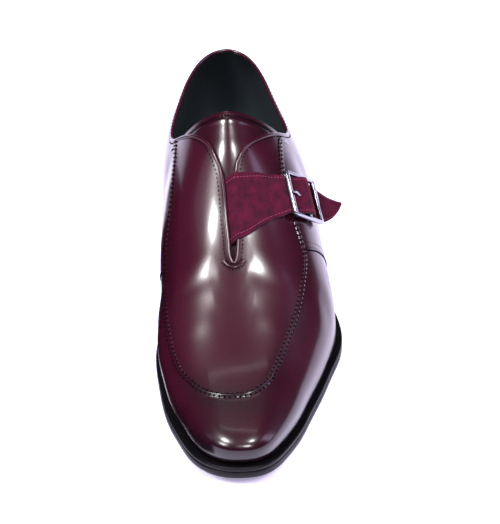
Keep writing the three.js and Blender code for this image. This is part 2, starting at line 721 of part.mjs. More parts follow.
// Tab: a leather loop round the middle bar, slotted for the prong, with its end on the outer quarter
function tab() {
  const across = [-1, -0.5, 0, 0.5, 1].map((v) => v * TAB_WIDTH / 2);
  const along = [0, 0.2, 0.4, 0.6, 0.8, 1].map((v) => v * TAB_LENGTH);
  const rest = TAB_THICKNESS / 2 + CLEARANCE;
  const rows = along.map((x) => across.map((y) => {
    const z = sideUnder(x, y) + rest * SLOPE_GAP;
    return place([x, y, Math.min(z, x === 0 ? TAB_THICKNESS / 2 - LOOP_RADIUS : z)]);
  }));
  const slot = new THREE.BoxGeometry(
    3 * LOOP_RADIUS, PRONG_RING_WIDTH + 2 * CLEARANCE, 4 * LOOP_RADIUS);
  const body = slab(rows, TAB_THICKNESS).solid().add(loop(LOOP_RADIUS, TAB_WIDTH));
  return fromSolid(body.subtract(fromGeometry(slot, place).solid()));
}

// Buckle frame: a rounded ring of flat bars with a round middle bar between its arms
function buckleFrame() {
  const ring = (long, wide, radius) => {
    const [x, y, r] = [long / 2, wide / 2, radius];
    const path = new THREE.Path();
    path.moveTo(-x + r, -y);
    path.lineTo(x - r, -y);
    path.quadraticCurveTo(x, -y, x, -y + r);
    path.lineTo(x, y - r);
    path.quadraticCurveTo(x, y, x - r, y);
    path.lineTo(-x + r, y);
    path.quadraticCurveTo(-x, y, -x, y - r);
    path.lineTo(-x, -y + r);
    path.quadraticCurveTo(-x, -y, -x + r, -y);
    return path.getPoints(3).slice(0, -1);
  };
  const inset = 2 * BAR_BEVEL;
  const outer = [BUCKLE_LENGTH + BAR_WIDTH, 2 * HALF_WINDOW + 2 * ARM_WIDTH];
  const shape = new THREE.Shape(ring(outer[0] - inset, outer[1] - inset, ARM_WIDTH));
  const window = ring(BUCKLE_LENGTH - BAR_WIDTH + inset, 2 * HALF_WINDOW + inset, WINDOW_RADIUS);
  shape.holes.push(new THREE.Path(window));
  const body = new THREE.ExtrudeGeometry(shape, {
    depth: BAR_THICKNESS - inset, bevelEnabled: true, bevelSize: BAR_BEVEL,
    bevelThickness: BAR_BEVEL, bevelSegments: 2, curveSegments: 3,
  });
  const low = BAR_BEVEL - BAR_THICKNESS / 2;
  const bars = fromGeometry(body, (p) => place([p[0], p[1], p[2] + low])).solid();
  const pin = new THREE.CylinderGeometry(PIN_RADIUS, PIN_RADIUS, 2 * HALF_WINDOW + ARM_WIDTH, 12);
  return fromSolid(bars.add(fromGeometry(pin, place).solid()));
}

// Strap: root under the inner facing, over the slit and the outer side, through the buckle
function strap() {
  const widths = [0, 0.14, 0.32, 0.5, 0.68, 0.86, 1];
  const under = WALL + CLEARANCE + STRAP_THICKNESS / 2;
  const over = CLEARANCE + STRAP_THICKNESS / 2;
  const edge = (name) => column(STRAP, "along", name);
  const [ankleRound, ankleUp] = [edge("ankleRound"), edge("ankleUp")];
  const [toeRound, toeUp] = [edge("toeRound"), edge("toeUp")];
  const beside = (side, past, depth) => widths.map((v) => {
    const round = mix(ankleRound(0), toeRound(0), v);
    const up = openings[side](round) + past / stretch(round, NEAR_RIDGE, side);
    return lift(surface(round, up, side, depth));
  });
  const rows = [-STRAP_TUCK, -STRAP_TUCK / 2, STRAP_LANDING].map((past) => beside(-1, past, under));
  rows.push(beside(1, STRAP_LANDING, -over));
  for (const k of [0.12, 0.28, 0.46, 0.64, 0.82, 1]) {
    rows.push(widths.map((v) => lift(surface(mix(ankleRound(k), toeRound(k), v),
      mix(ankleUp(k), toeUp(k), v), 1, -over))));
  }
  const start = -HALF_BUCKLE - STRAP_APPROACH;
  const inner = HALF_BUCKLE - BAR_WIDTH / 2 - CLEARANCE;
  const row = (x, ankle, toe, height) => rows.push(widths.map((v) => {
    const y = mix(ankle, toe, v) * STRAP_WIDTH / 2;
    return place([x, y, height(x, y)]);
  }));
  const approach = (x, y) => mix(sideUnder(x, y) + SLOPE_GAP * over, STRAP_LOW,
    ease((x - start) / (-HALF_BUCKLE - start)));
  for (const t of APPROACH) row(mix(start, -HALF_BUCKLE, t.share), t.ankle, t.toe, approach);
  const steps = 12;
  for (let i = 0; i <= steps; i++) {
    const turn = Math.PI * (2 * i / steps - 1);
    row(inner * (2 * i / steps - 1), -1, 1,
      () => mix(STRAP_LOW, STRAP_HIGH, (1 + Math.cos(turn)) / 2));
  }
  for (const t of TAIL) {
    row(HALF_BUCKLE + t.along * TAIL_LENGTH, t.ankle, t.toe, () => STRAP_LOW + t.rise * TAIL_RISE);
  }
  const hole = rod(PRONG_PATH.slice(0, 2), PRONG_RADIUS + CLEARANCE);
  return fromSolid(slab(rows, STRAP_THICKNESS).solid().subtract(hole.solid()));
}

const materials = {
  leather: new THREE.MeshStandardMaterial({ color: 0x4b1930, roughness: 0.25, metalness: 0 }),
  lining: new THREE.MeshStandardMaterial({ color: 0x12201f, roughness: 0.8, metalness: 0 }),
  edge: new THREE.MeshStandardMaterial({ color: 0x0b0a0c, roughness: 0.4, metalness: 0 }),
  suede: new THREE.MeshStandardMaterial({ color: 0x691c37, roughness: 0.95, metalness: 0 }),
  metal: new THREE.MeshStandardMaterial({ color: 0xd8d8dc, roughness: 0.15, metalness: 1 }),
};

const shoe = new THREE.Group();
// The origin lies under the middle of the sole's length and width
const middle = new THREE.Group();
shoe.add(middle);

function add(name, skin, material) {
  const mesh = new THREE.Mesh(skin.geometry(), material);
  mesh.name = name;
  middle.add(mesh);
}

add("outsole", outsole(), materials.edge);
add("welt", welt(), materials.edge);
add("heel", heel(), materials.edge);
add("insole", insole(), materials.lining);
add("upper", upper(), materials.leather);
add("tongue", tongue(), materials.leather);
add("strap", strap(), materials.suede);
add("buckle_frame", buckleFrame(), materials.metal);
add("buckle_prong", prong(), materials.metal);
add("buckle_tab", tab(), materials.leather);

// Centre the whole shoe over the origin
const box = new THREE.Box3().setFromObject(middle, true);
middle.position.set(-(box.min.x + box.max.x) / 2, -(box.min.y + box.max.y) / 2, -box.min.z);

export default shoe;
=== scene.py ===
"""Looks of a burgundy monk strap shoe: fine leather, lining, seams, suede strap, buckle and sole."""
import math

import bmesh
import bpy
import numpy as np
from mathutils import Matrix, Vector


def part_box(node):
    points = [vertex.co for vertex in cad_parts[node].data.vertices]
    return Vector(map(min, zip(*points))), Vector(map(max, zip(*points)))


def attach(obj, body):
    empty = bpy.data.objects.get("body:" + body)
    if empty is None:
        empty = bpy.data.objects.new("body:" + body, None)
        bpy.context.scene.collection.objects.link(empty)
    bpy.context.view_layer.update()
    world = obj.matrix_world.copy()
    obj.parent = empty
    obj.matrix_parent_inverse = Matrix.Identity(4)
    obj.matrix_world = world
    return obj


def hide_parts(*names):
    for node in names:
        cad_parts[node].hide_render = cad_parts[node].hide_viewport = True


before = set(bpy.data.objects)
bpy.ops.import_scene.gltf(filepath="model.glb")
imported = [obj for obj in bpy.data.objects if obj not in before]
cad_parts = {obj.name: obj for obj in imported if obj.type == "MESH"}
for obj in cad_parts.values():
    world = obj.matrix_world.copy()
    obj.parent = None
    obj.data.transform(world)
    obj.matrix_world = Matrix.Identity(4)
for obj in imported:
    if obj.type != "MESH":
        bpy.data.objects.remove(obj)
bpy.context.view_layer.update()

# Sizes of the solids, in millimetres
SHOE_LENGTH = 300.0
HALF_BALL = 54.4
INSTEP_HEIGHT = 94.0
HEEL_HEIGHT = 22.0
TOE_SPRING = 9.0
SOLE_THICKNESS = 5.2
WELT_THICKNESS = 3.0
WELT_LAP = 1.2
EDGE_AT_HEEL = 1.8
EDGE_AT_TOE = 4.2
HEEL_DEPTH = 72.0
HEEL_INSET = 0.5
HEEL_TAPER = 1.6
HEEL_RAKE = 2.5
INSOLE_THICKNESS = 3.0
FOOTBED_GAP = 0.6
WALL = 1.8
SEAM_WIDTH = 3.6
SEAM_HEIGHT = 0.7
STRAP_THICKNESS = 1.5
TONGUE_THICKNESS = 2.0
TONGUE_LIFT = 2.5
CLEARANCE = 0.3
TOE_RADIUS = 50.0
HEEL_RADIUS = 40.0
STRAP_WIDTH = 23.0
STRAP_TUCK = 6.0
STRAP_LANDING = 0.5
STRAP_APPROACH = 12.0
TAIL_LENGTH = 20.0
TAIL_RISE = 8.0
BUCKLE_LENGTH = 30.0
BAR_WIDTH = 3.0
BAR_THICKNESS = 2.4
PIN_RADIUS = 0.9
TAB_THICKNESS = 1.2

# Powers of the rounded outlines and smooth rises, and how steeply the arch rises
TOE_SQUARENESS = 2.41
HEEL_SQUARENESS = 2.3
COLLAR_SQUARENESS = 1.6
TUCK_POWER = 2.5
TOE_CURVE = 2.2
LEAN_POWER = 1.5
ARCH_RISE = 1.12

# Shares of the length: the sole's flat spot, and where its edge starts and ends to widen
FLAT_FROM, FLAT_TO = 0.635, 0.735
EDGE_FROM, EDGE_TO = 0.1, 0.7

# Ways round go from 0 at the heel's back to 1 at the toe's tip, ways up from 0 at the foot to 1 at
# the ridge: the heel's end, the toe's start, the slit's end, the height where the wall is upright,
# the buckle's middle, its bars' direction, and the room left between the seam and the opening
HEEL_FAN, TOE_FAN, SLIT_END = 0.12, 0.8, 0.583
EQUATOR = 0.2
BUCKLE_ROUND, BUCKLE_UP = 0.417, 0.522
BAR_REACH, BAR_DROP = 0.035, 0.016
SEAM_STOP, SEAM_RUN_OUT = 0.03, 0.075

# Share of the tongue that stands free, its lean back, and how the strap's gap grows on the slope
TONGUE_FREE, TONGUE_LEAN = 0.2, 0.4
SLOPE_GAP = 1.2

# Two ways round or up closer than this are the same
TINY = 1e-9

# at, axis, half, crest, bulge, equator, boxy, lean
LAST = np.array([
    [0.00, -0.070, 0.568, 0.874, 0.029, 0.223, 2.20, -0.009],
    [0.10, -0.085, 0.556, 0.843, 0.045, 0.223, 2.10, -0.028],
    [0.20, -0.066, 0.629, 0.846, 0.149, 0.223, 1.90, -0.074],
    [0.30, -0.018, 0.669, 1.000, 0.200, 0.223, 1.72, -0.129],
    [0.40, 0.000, 0.743, 0.984, 0.176, 0.223, 1.76, -0.151],
    [0.50, 0.020, 0.899, 0.803, 0.075, 0.207, 1.95, -0.162],
    [0.58, 0.042, 0.987, 0.676, 0.017, 0.181, 2.10, -0.173],
    [0.64, 0.008, 1.000, 0.585, 0.020, 0.160, 2.20, -0.154],
    [0.70, -0.045, 0.935, 0.495, 0.046, 0.138, 2.25, -0.110],
    [0.76, -0.091, 0.857, 0.418, 0.042, 0.128, 2.30, -0.070],
    [0.82, -0.131, 0.760, 0.351, 0.039, 0.112, 2.35, -0.033],
    [0.88, -0.147, 0.656, 0.296, 0.031, 0.101, 2.40, -0.007],
    [0.94, -0.170, 0.583, 0.255, 0.028, 0.096, 2.45, 0.000],
    [1.00, -0.151, 0.547, 0.229, 0.024, 0.096, 2.50, 0.000],
])
# round, inner, outer
OPENING = np.array([
    [0.00, 0.610, 0.610], [0.06, 0.598, 0.600], [0.12, 0.560, 0.568], [0.18, 0.520, 0.532],
    [0.235, 0.492, 0.512], [0.27, 0.530, 0.545], [0.31, 0.642, 0.640], [0.35, 0.764, 0.752],
    [0.375, 0.841, 0.836], [0.40, 0.893, 0.909], [0.422, 0.928, 0.944], [0.45, 0.950, 0.957],
    [0.50, 0.960, 0.962], [0.55, 0.972, 0.980], [0.575, 0.986, 0.992], [0.583, 1.000, 1.000],
])
APRON = np.array([
    [0.00, 0.720, 0.720], [0.20, 0.600, 0.650], [0.26, 0.562, 0.618], [0.30, 0.550, 0.618],
    [0.36, 0.536, 0.632], [0.43, 0.512, 0.628], [0.49, 0.468, 0.590], [0.535, 0.462, 0.568],
    [0.583, 0.484, 0.593], [0.648, 0.520, 0.627], [0.712, 0.528, 0.674], [0.772, 0.580, 0.728],
    [0.835, 0.745, 0.820], [0.90, 0.850, 0.870], [1.00, 0.890, 0.890],
])
# along, round, trail, reach
TONGUE = np.array([
    [0.00, 0.318, -0.028, 0.600], [0.15, 0.352, -0.014, 0.640], [0.35, 0.415, 0.000, 0.715],
    [0.65, 0.510, 0.000, 0.760], [1.00, 0.610, 0.000, 0.800],
])
# along, ankle round, ankle up, toe round, toe up
STRAP = np.array([
    [0.00, 0.434, 0.957, 0.543, 0.978], [0.33, 0.431, 0.885, 0.530, 0.900],
    [0.67, 0.426, 0.815, 0.511, 0.822], [1.00, 0.421, 0.745, 0.494, 0.742],
])
# share of the way to the buckle, ankle, toe
APPROACH = [(0.58, -1.02, 1.15), (0.83, -1.00, 1.04)]
# along, rise, ankle, toe
TAIL = [(0.12, 0.01, -1.00, 1.00), (0.35, 0.15, -0.74, 0.95), (0.62, 0.44, -0.42, 0.74),
        (0.85, 0.77, -0.22, 0.38), (1.00, 1.00, -0.12, 0.00)]

# Stitches by piece: step from one to the next, then length, width and height, in millimetres
STITCHES = {
    "apron_stitches": (3.0, 1.8, 1.5, 1.3),
    "collar_stitches": (2.5, 1.2, 0.55, 0.4),
    "facing_stitches": (2.5, 1.6, 1.0, 0.85),
    "quarter_stitches": (2.0, 1.3, 0.5, 0.4),
    "slit_tack_stitches": (1.5, 1.9, 0.7, 0.8),
    "tongue_stitches": (2.6, 1.7, 1.2, 1.1),
    "strap_stitches": (1.9, 1.15, 0.55, 0.5),
    "welt_stitches": (2.4, 1.4, 0.6, 0.45),
}


# Curves
def column(table, index, scale=1.0, key_scale=1.0):
    """A smooth curve through a table's column."""
    x = table[:, 0] * key_scale
    y = table[:, index] * scale
    n = len(x)
    h = np.diff(x)
    a = np.zeros((n, n))
    r = np.zeros(n)
    a[0, 0] = a[-1, -1] = 1
    for i in range(1, n - 1):
        a[i, i - 1:i + 2] = h[i - 1], 2 * (h[i - 1] + h[i]), h[i]
        r[i] = 6 * ((y[i + 1] - y[i]) / h[i] - (y[i] - y[i - 1]) / h[i - 1])
    bend = np.linalg.solve(a, r)

    def value(v):
        v = np.clip(np.asarray(v, float), x[0], x[-1])
        i = np.clip(np.searchsorted(x, v, side="right") - 1, 0, n - 2)
        p = (x[i + 1] - v) / h[i]
        q = 1 - p
        curve = ((p ** 3 - p) * bend[i] + (q ** 3 - q) * bend[i + 1]) * h[i] ** 2 / 6
        return p * y[i] + q * y[i + 1] + curve
    return value


def ease(v):
    """Smooth step from 0 to 1."""
    v = np.clip(v, 0, 1)
    return v * v * (3 - 2 * v)


def hill(v, width):
    """Soft hill, 1 where v is 0."""
    return np.exp(-(v / width) ** 2)


def mix(a, b, k):
    return a + (b - a) * k


def unit(vector):
    return vector / np.linalg.norm(vector, axis=-1, keepdims=True)


def resample(path, step):
    """Points at even steps along a path."""
    length = np.concatenate([[0], np.cumsum(np.linalg.norm(np.diff(path, axis=0), axis=1))])
    count = max(int(length[-1] / step), 2)
    at = np.linspace(0, length[-1], count)
    return np.stack([np.interp(at, length, path[:, k]) for k in range(path.shape[1])], -1)


def stations(stops, counts):
    """Ways round, evenly spaced between one stop and the next, up to the last stop itself."""
    parts = [np.linspace(a, b, n, endpoint=False) for a, b, n in zip(stops, stops[1:-1], counts)]
    return np.concatenate([*parts, np.linspace(stops[-2], stops[-1], counts[-1])])


# Shape of the shoe, in its own frame: x to the outer side, s from the heel's back to the toe, z up
axis = column(LAST, 1, HALF_BALL, SHOE_LENGTH)
half = column(LAST, 2, HALF_BALL, SHOE_LENGTH)
crest_height = column(LAST, 3, INSTEP_HEIGHT, SHOE_LENGTH)
bulge = column(LAST, 4, HALF_BALL, SHOE_LENGTH)
equator_height = column(LAST, 5, INSTEP_HEIGHT, SHOE_LENGTH)
boxiness = column(LAST, 6, 1, SHOE_LENGTH)
lean = column(LAST, 7, HALF_BALL, SHOE_LENGTH)
opening = {-1: column(OPENING, 1), 1: column(OPENING, 2)}
apron = {-1: column(APRON, 1), 1: column(APRON, 2)}


def sole_bottom(s):
    front = np.clip((s / SHOE_LENGTH - FLAT_TO) / (1 - FLAT_TO), 0, None)
    back = (FLAT_FROM - s / SHOE_LENGTH) / FLAT_FROM
    return TOE_SPRING * front ** TOE_CURVE + HEEL_HEIGHT * ease(ARCH_RISE * back)


def welt_bottom(s):
    return sole_bottom(s) + SOLE_THICKNESS + CLEARANCE


def seat(s):
    return welt_bottom(s) + WELT_THICKNESS


def edge_out(s):
    """How far the sole's edge stands out beyond the upper's foot."""
    widening = ease((s / SHOE_LENGTH - EDGE_FROM) / (EDGE_TO - EDGE_FROM))
    return mix(EDGE_AT_HEEL, EDGE_AT_TOE, widening)


def rib(around, high=0.0):
    """Where a rib starts on the centre line, and its reach sideways and endways."""
    around = np.asarray(around, float)
    heel_turn = (1 - np.clip(around / HEEL_FAN, 0, 1)) * math.pi / 2
    toe_turn = np.clip((around - TOE_FAN) / (1 - TOE_FAN), 0, 1) * math.pi / 2
    middle = np.clip((around - HEEL_FAN) / (TOE_FAN - HEEL_FAN), 0, 1)
    start = mix(HEEL_RADIUS, SHOE_LENGTH - TOE_RADIUS, middle)
    heel_power = 2 / mix(HEEL_SQUARENESS, COLLAR_SQUARENESS, high)
    toe_power = 2 / TOE_SQUARENESS
    at_heel = heel_turn > 0
    cosine = np.clip(np.cos(toe_turn), 0, 1)
    cosine = np.where(around >= 1, 0, cosine)
    sideways = np.where(at_heel, np.cos(heel_turn) ** heel_power, cosine ** toe_power)
    endways = np.where(at_heel, -(np.sin(heel_turn) ** heel_power), np.sin(toe_turn) ** toe_power)
    return start, sideways, endways


def outline(around, side, inset, height):
    """Points of the sole's outline, moved in by inset(s) and lifted to height(s)."""
    start, sideways, endways = rib(around)
    radius = np.where(endways < 0, HEEL_RADIUS, TOE_RADIUS)
    s = start + endways * (radius - inset(start + endways * radius))
    x = axis(s) + side * sideways * (half(s) - inset(s))
    return np.stack(np.broadcast_arrays(x, s, height(s)), -1)


def surface(around, up, side, depth=0.0):
    """Point of the upper's outside: around 0 heel to 1 toe, up 0 foot to 1 ridge, depth inward."""
    around, up, depth = np.broadcast_arrays(
        np.asarray(around, float), np.asarray(up, float), np.asarray(depth, float))
    above = np.clip((up - EQUATOR) / (1 - EQUATOR), 0, 1)
    tuck = 1 - (1 - np.clip(up / EQUATOR, 0, 1)) ** TUCK_POWER
    start, sideways, endways = rib(around, above)
    angle = above * math.pi / 2
    power = 2 / boxiness(start)
    out = np.where(above >= 1, 0, np.clip(np.cos(angle), 0, 1) ** power)
    rise = np.sin(angle) ** power
    edge = np.where(endways < 0, HEEL_RADIUS - EDGE_AT_HEEL, TOE_RADIUS - EDGE_AT_TOE)
    s = start + out * endways * (edge - depth + bulge(start) * tuck)
    width = half(s) - edge_out(s) - depth + bulge(s) * tuck
    slope = (crest_height(s + 1) + seat(s + 1) - crest_height(s - 1) - seat(s - 1)) / 2
    crest = crest_height(s) - depth * np.hypot(1, slope)
    equator = equator_height(s)
    height = equator * np.clip(up / EQUATOR, 0, 1) + (crest - equator) * rise
    shift = lean(s) * np.clip(height / crest_height(s), 0, 1) ** LEAN_POWER
    return np.stack([axis(s) + side * out * sideways * width + shift, s,
                     seat(s) + height + CLEARANCE], -1)


def stretch(around, up, side):
    """Millimetres that one whole way up would measure at this place."""
    step = 0.005
    below, above = surface(around, up - step, side), surface(around, up + step, side)
    return np.linalg.norm(below - above, axis=-1) / (2 * step)


# The shared frame's origin lies under the middle of the shoe, with the toe toward -Y
MM = 1000.0
RIM_POINTS = 2001
rim = outline(np.linspace(0, 1, RIM_POINTS)[:, None], np.array([-1, 1]), lambda s: 0 * s, sole_bottom)
low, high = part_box("outsole")
SHIFT_X = (low[0] + high[0]) / 2 * MM - (rim[..., 0].min() + rim[..., 0].max()) / 2
SHIFT_Y = high[1] * MM


def metres(p):
    """Carries a point from the shoe's own frame into the shared frame."""
    p = np.asarray(p, float)
    return np.stack([(p[..., 0] + SHIFT_X), SHIFT_Y - p[..., 1], p[..., 2]], -1) / MM


# Meshes. Corners closer than this, in metres, are joined: in built meshes and in copies of solids.
CORNERS_MEET = 2e-6
COPY_CORNERS_MEET = 1e-6


def merge_corners(mesh, distance, outward):
    """Joins corners that meet and, where asked, turns all faces outward."""
    work = bmesh.new()
    work.from_mesh(mesh)
    bmesh.ops.remove_doubles(work, verts=work.verts, dist=distance)
    if outward:
        bmesh.ops.recalc_face_normals(work, faces=work.faces)
    work.to_mesh(mesh)
    work.free()


def add_piece(name, mesh, material, slot, sharp=None, replaces=()):
    """Shades a mesh smoothly, but for edges sharper than sharp degrees, and lets it ride the body."""
    mesh.polygons.foreach_set("use_smooth", [True] * len(mesh.polygons))
    if sharp is not None:
        mesh.set_sharp_from_angle(angle=math.radians(sharp))
    mesh.materials.append(material)
    piece = bpy.data.objects.new(name, mesh)
    bpy.context.scene.collection.objects.link(piece)
    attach(piece, "root")
    if replaces:
        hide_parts(*replaces)


def new_mesh(name, points, faces, material, slot, tone=None, **more):
    mesh = bpy.data.meshes.new(name)
    mesh.from_pydata([tuple(v) for v in metres(points)], [], [tuple(int(k) for k in f) for f in faces])
    if tone is not None:
        layer = mesh.attributes.new("tone", "FLOAT", "POINT")
        layer.data.foreach_set("value", np.asarray(tone, np.float32))
    merge_corners(mesh, CORNERS_MEET, True)
    add_piece(name, mesh, material, slot, **more)


def grid_faces(rows, cols, start=0, closed=False):
    i, j = np.meshgrid(np.arange(rows - 1), np.arange(cols if closed else cols - 1), indexing="ij")
    k = (j + 1) % cols
    corners = [i * cols + j, (i + 1) * cols + j, (i + 1) * cols + k, i * cols + k]
    return np.stack(corners, -1).reshape(-1, 4) + start


class Body:
    """Grids of points gathered into one mesh, each point with a tone."""

    def __init__(self):
        self.points, self.faces, self.tones, self.count = [], [], [], 0

    def grid(self, points, tone=0.0, closed=False):
        rows, cols = points.shape[:2]
        self.points.append(points.reshape(-1, 3))
        self.tones.append(np.broadcast_to(tone, (rows, cols)).ravel())
        self.faces.append(grid_faces(rows, cols, self.count, closed))
        self.count += rows * cols

    def build(self, name, material, slot, **more):
        new_mesh(name, np.concatenate(self.points), np.concatenate(self.faces), material, slot,
                 tone=np.concatenate(self.tones), **more)


# A direction that no cord starts along
OFF_PATH = (0.3, 0.2, 1.0)


def tube(name, path, radius, material, sides):
    """A round cord of even or varying radius along a path of points."""
    radius = np.broadcast_to(np.asarray(radius, float), len(path))
    tangent = unit(np.gradient(path, axis=0))
    normal = np.zeros_like(path)
    lead = np.cross(tangent[0], OFF_PATH)
    for i in range(len(path)):
        lead = unit(lead - tangent[i] * np.dot(lead, tangent[i]))
        normal[i] = lead
    other = np.cross(tangent, normal)
    turn = np.linspace(0, 2 * math.pi, sides, endpoint=False)[None, :, None]
    ring = normal[:, None] * np.cos(turn) + other[:, None] * np.sin(turn)
    body = Body()
    body.grid(path[:, None] + ring * radius[:, None, None], closed=True)
    for end, way in ((0, 1), (-1, -1)):
        centre = np.repeat(path[end][None], sides, 0)
        around = path[end] + ring[end] * radius[end]
        body.grid(np.stack([around, centre])[::way], closed=True)
    body.build(name, material, "polished_leather")


def stitches(name, lines, material, slot="polished_leather"):
    """Rows of single stitches, each an eight-sided grain; a line is points and outward normals."""
    step, length, width, height = STITCHES[name]
    shape = np.array([[1, 0, 0], [-1, 0, 0], [0, 1, 0], [0, -1, 0], [0, 0, 1], [0, 0, -1]])
    shape = shape / 2 * (length, width, height)
    corners = [[0, 2, 4], [2, 1, 4], [1, 3, 4], [3, 0, 4], [2, 0, 5], [1, 2, 5], [3, 1, 5], [0, 3, 5]]
    points, faces = [], []
    for path, normal in lines:
        both = resample(np.concatenate([path, normal], 1), step)
        centre, out = both[:, :3], both[:, 3:]
        along = unit(np.gradient(centre, axis=0))
        out = unit(out - along * (out * along).sum(1)[:, None])
        across = np.cross(along, out)
        for c, a, o, w in zip(centre, along, out, across):
            faces += [[k + len(shape) * len(points) for k in f] for f in corners]
            points.append(c + shape @ np.array([a, w, o]))
    new_mesh(name, np.concatenate(points), faces, material, slot)


# Materials
def srgb(r, g, b):
    return tuple((v / 255 / 12.92) if v <= 10 else ((v / 255 + 0.055) / 1.055) ** 2.4 for v in (r, g, b))


def shader(name, color, rough, **sockets):
    """A Principled material. A further socket's name is written with underscores for its spaces."""
    material = bpy.data.materials.new(name)
    material.use_nodes = True
    principled = material.node_tree.nodes["Principled BSDF"]
    principled.inputs["Base Color"].default_value = (*color, 1)
    principled.inputs["Roughness"].default_value = rough
    for key, value in sockets.items():
        principled.inputs[key.replace("_", " ")].default_value = value
    return material, material.node_tree, principled


def noise(tree, scale, detail):
    """Noise that is fixed to the object."""
    where = tree.nodes.new("ShaderNodeTexCoord")
    texture = tree.nodes.new("ShaderNodeTexNoise")
    texture.inputs["Scale"].default_value = scale
    texture.inputs["Detail"].default_value = detail
    tree.links.new(where.outputs["Object"], texture.inputs["Vector"])
    return texture.outputs["Fac"]


def grain(tree, principled, scale, strength, distance, detail=3.0):
    """Fine relief in the surface's normal."""
    bump = tree.nodes.new("ShaderNodeBump")
    bump.inputs["Strength"].default_value = strength
    bump.inputs["Distance"].default_value = distance
    tree.links.new(noise(tree, scale, detail), bump.inputs["Height"])
    tree.links.new(bump.outputs["Normal"], principled.inputs["Normal"])


def clouds(tree, scale, detail, taken, given):
    """Noise between two taken values, spread to the two given ones."""
    spread = tree.nodes.new("ShaderNodeMapRange")
    spread.inputs["From Min"].default_value, spread.inputs["From Max"].default_value = taken
    spread.inputs["To Min"].default_value, spread.inputs["To Max"].default_value = given
    tree.links.new(noise(tree, scale, detail), spread.inputs["Value"])
    return spread.outputs["Result"]


def two_tones(tree, principled, share, first, second):
    """Base colour that goes from the first to the second colour."""
    blend = tree.nodes.new("ShaderNodeMix")
    blend.data_type = "RGBA"
    blend.inputs[6].default_value = (*first, 1)
    blend.inputs[7].default_value = (*second, 1)
    tree.links.new(share, blend.inputs[0])
    tree.links.new(blend.outputs[2], principled.inputs["Base Color"])


def polished(name, light, dark, rough):
    """Polished leather: from light to dark by the tone kept on the mesh, with soft clouds."""
    material, tree, principled = shader(
        name, light, rough, Coat_Weight=0.22, Coat_Roughness=0.09, IOR=1.36, Coat_IOR=1.4)
    grain(tree, principled, 900.0, 0.05, 0.0002)
    tone = tree.nodes.new("ShaderNodeAttribute")
    tone.attribute_name = "tone"
    total = tree.nodes.new("ShaderNodeMath")
    total.operation = "ADD"
    total.use_clamp = True
    tree.links.new(tone.outputs["Fac"], total.inputs[0])
    tree.links.new(clouds(tree, 38.0, 4.0, (0.35, 0.7), (-0.12, 0.14)), total.inputs[1])
    two_tones(tree, principled, total.outputs[0], light, dark)
    return material


def suede(name, deep, bright):
    """Suede: a soft nap with patches that lie deeper and brighter."""
    material, tree, principled = shader(
        name, bright, 0.95, Sheen_Weight=0.22, Sheen_Roughness=0.45,
        Sheen_Tint=(*srgb(170, 70, 100), 1), Specular_IOR_Level=0.15)
    grain(tree, principled, 1500.0, 0.55, 0.0005, 6.0)
    two_tones(tree, principled, clouds(tree, 210.0, 6.0, (0.3, 0.7), (0.0, 1.0)), deep, bright)
    return material


def grained(name, color, rough, scale, strength, distance, **sockets):
    """One colour with a fine relief."""
    material, tree, principled = shader(name, color, rough, **sockets)
    grain(tree, principled, scale, strength, distance)
    return material


def plain(name, color, rough, **sockets):
    return shader(name, color, rough, **sockets)[0]


# Each colour is followed by the roughness, and in grained ones by the grain's scale, strength and depth
LEATHER = polished("burgundy_leather", srgb(42, 5, 20), srgb(10, 2, 7), 0.24)
PIPING = polished("piping_leather", srgb(42, 8, 20), srgb(18, 5, 10), 0.2)
LINING = grained("dark_lining", srgb(9, 19, 27), 0.7, 700.0, 0.25, 0.0003)
FOOTBED = grained("footbed_leather", srgb(20, 29, 33), 0.55, 500.0, 0.2, 0.0003)
EDGE = grained("black_edge", srgb(6, 5, 8), 0.42, 260.0, 0.15, 0.0004, Specular_IOR_Level=0.12)
THREAD = plain("dark_thread", srgb(4, 2, 4), 0.9, Specular_IOR_Level=0.05)
PINK = plain("pink_thread", srgb(140, 46, 78), 0.75)
CUT = plain("cut_edge", srgb(38, 12, 22), 0.7)
METAL = plain("buckle_steel", srgb(152, 152, 162), 0.18, Metallic=1.0)
SUEDE = suede("burgundy_suede", srgb(36, 3, 18), srgb(64, 5, 31))
PAPER = plain("white_paper", srgb(238, 231, 255), 0.8,
              Emission_Color=(0.78, 0.71, 1.0, 1), Emission_Strength=0.45)

# Upper
AROUND = stations((0, HEEL_FAN, SLIT_END, TOE_FAN, 1), (40, 130, 60, 60))
OPEN = AROUND <= SLIT_END + TINY

# Rows of the outside: up to the equator, to the seam's foot, over the seam, and up to the edge
FOOT_ROWS, SIDE_ROWS, SEAM_ROWS, TOP_ROWS = 14, 26, 17, 40
FOOT_CROWDING = 1.6
LINING_ROWS = 50

# Raised seam: share of its height that shows, shares of its width in a shoulder and in the groove
SEAM_SHOWS, SEAM_SHOULDER = 0.72, 0.3
GROOVE_DEPTH, GROOVE_WIDTH = 0.4, 0.09

# Darker leather by the seam, the opening, the sole, the toe and the heel, and a paler band round the
# toe: amounts, then shares of the seam's width or of the way, or millimetres
# The seam's darkening is burnish along it, doubled in its groove by painted shade
SEAM_BURNISH_AND_SHADE, GROOVE_SHADE_WIDTH, BELOW_DARK_WIDTH, ABOVE_DARK_WIDTH = 0.3, 0.12, 0.25, 0.2
RIM_DARK, RIM_DARK_WIDTH, RIM_DARK_STOP = 0.35, 5.0, 0.02
# Toward the sole the darkening is burnish and painted shade where the side turns under to the welt
FOOT_BURNISH_AND_SHADE, FOOT_BURNISH_AND_SHADE_HEIGHT = 0.8, 14.0
TOE_DARK, TOE_DARK_FROM, TOE_DARK_RUN = 0.5, 222.0, 55.0
TOE_PALE, TOE_PALE_HEIGHT, TOE_PALE_WIDTH = 0.4, 18.0, 9.0
HEEL_DARK, HEEL_DARK_RUN = 0.35, 60.0
# Tones of cut or hidden leather, and of the tongue's edges
CUT_DARK, EDGE_DARK = 0.9, 0.7
# Ways up at which millimetres near the opening's edge are measured
NEAR_EDGE, BELOW_EDGE = 0.8, 0.02

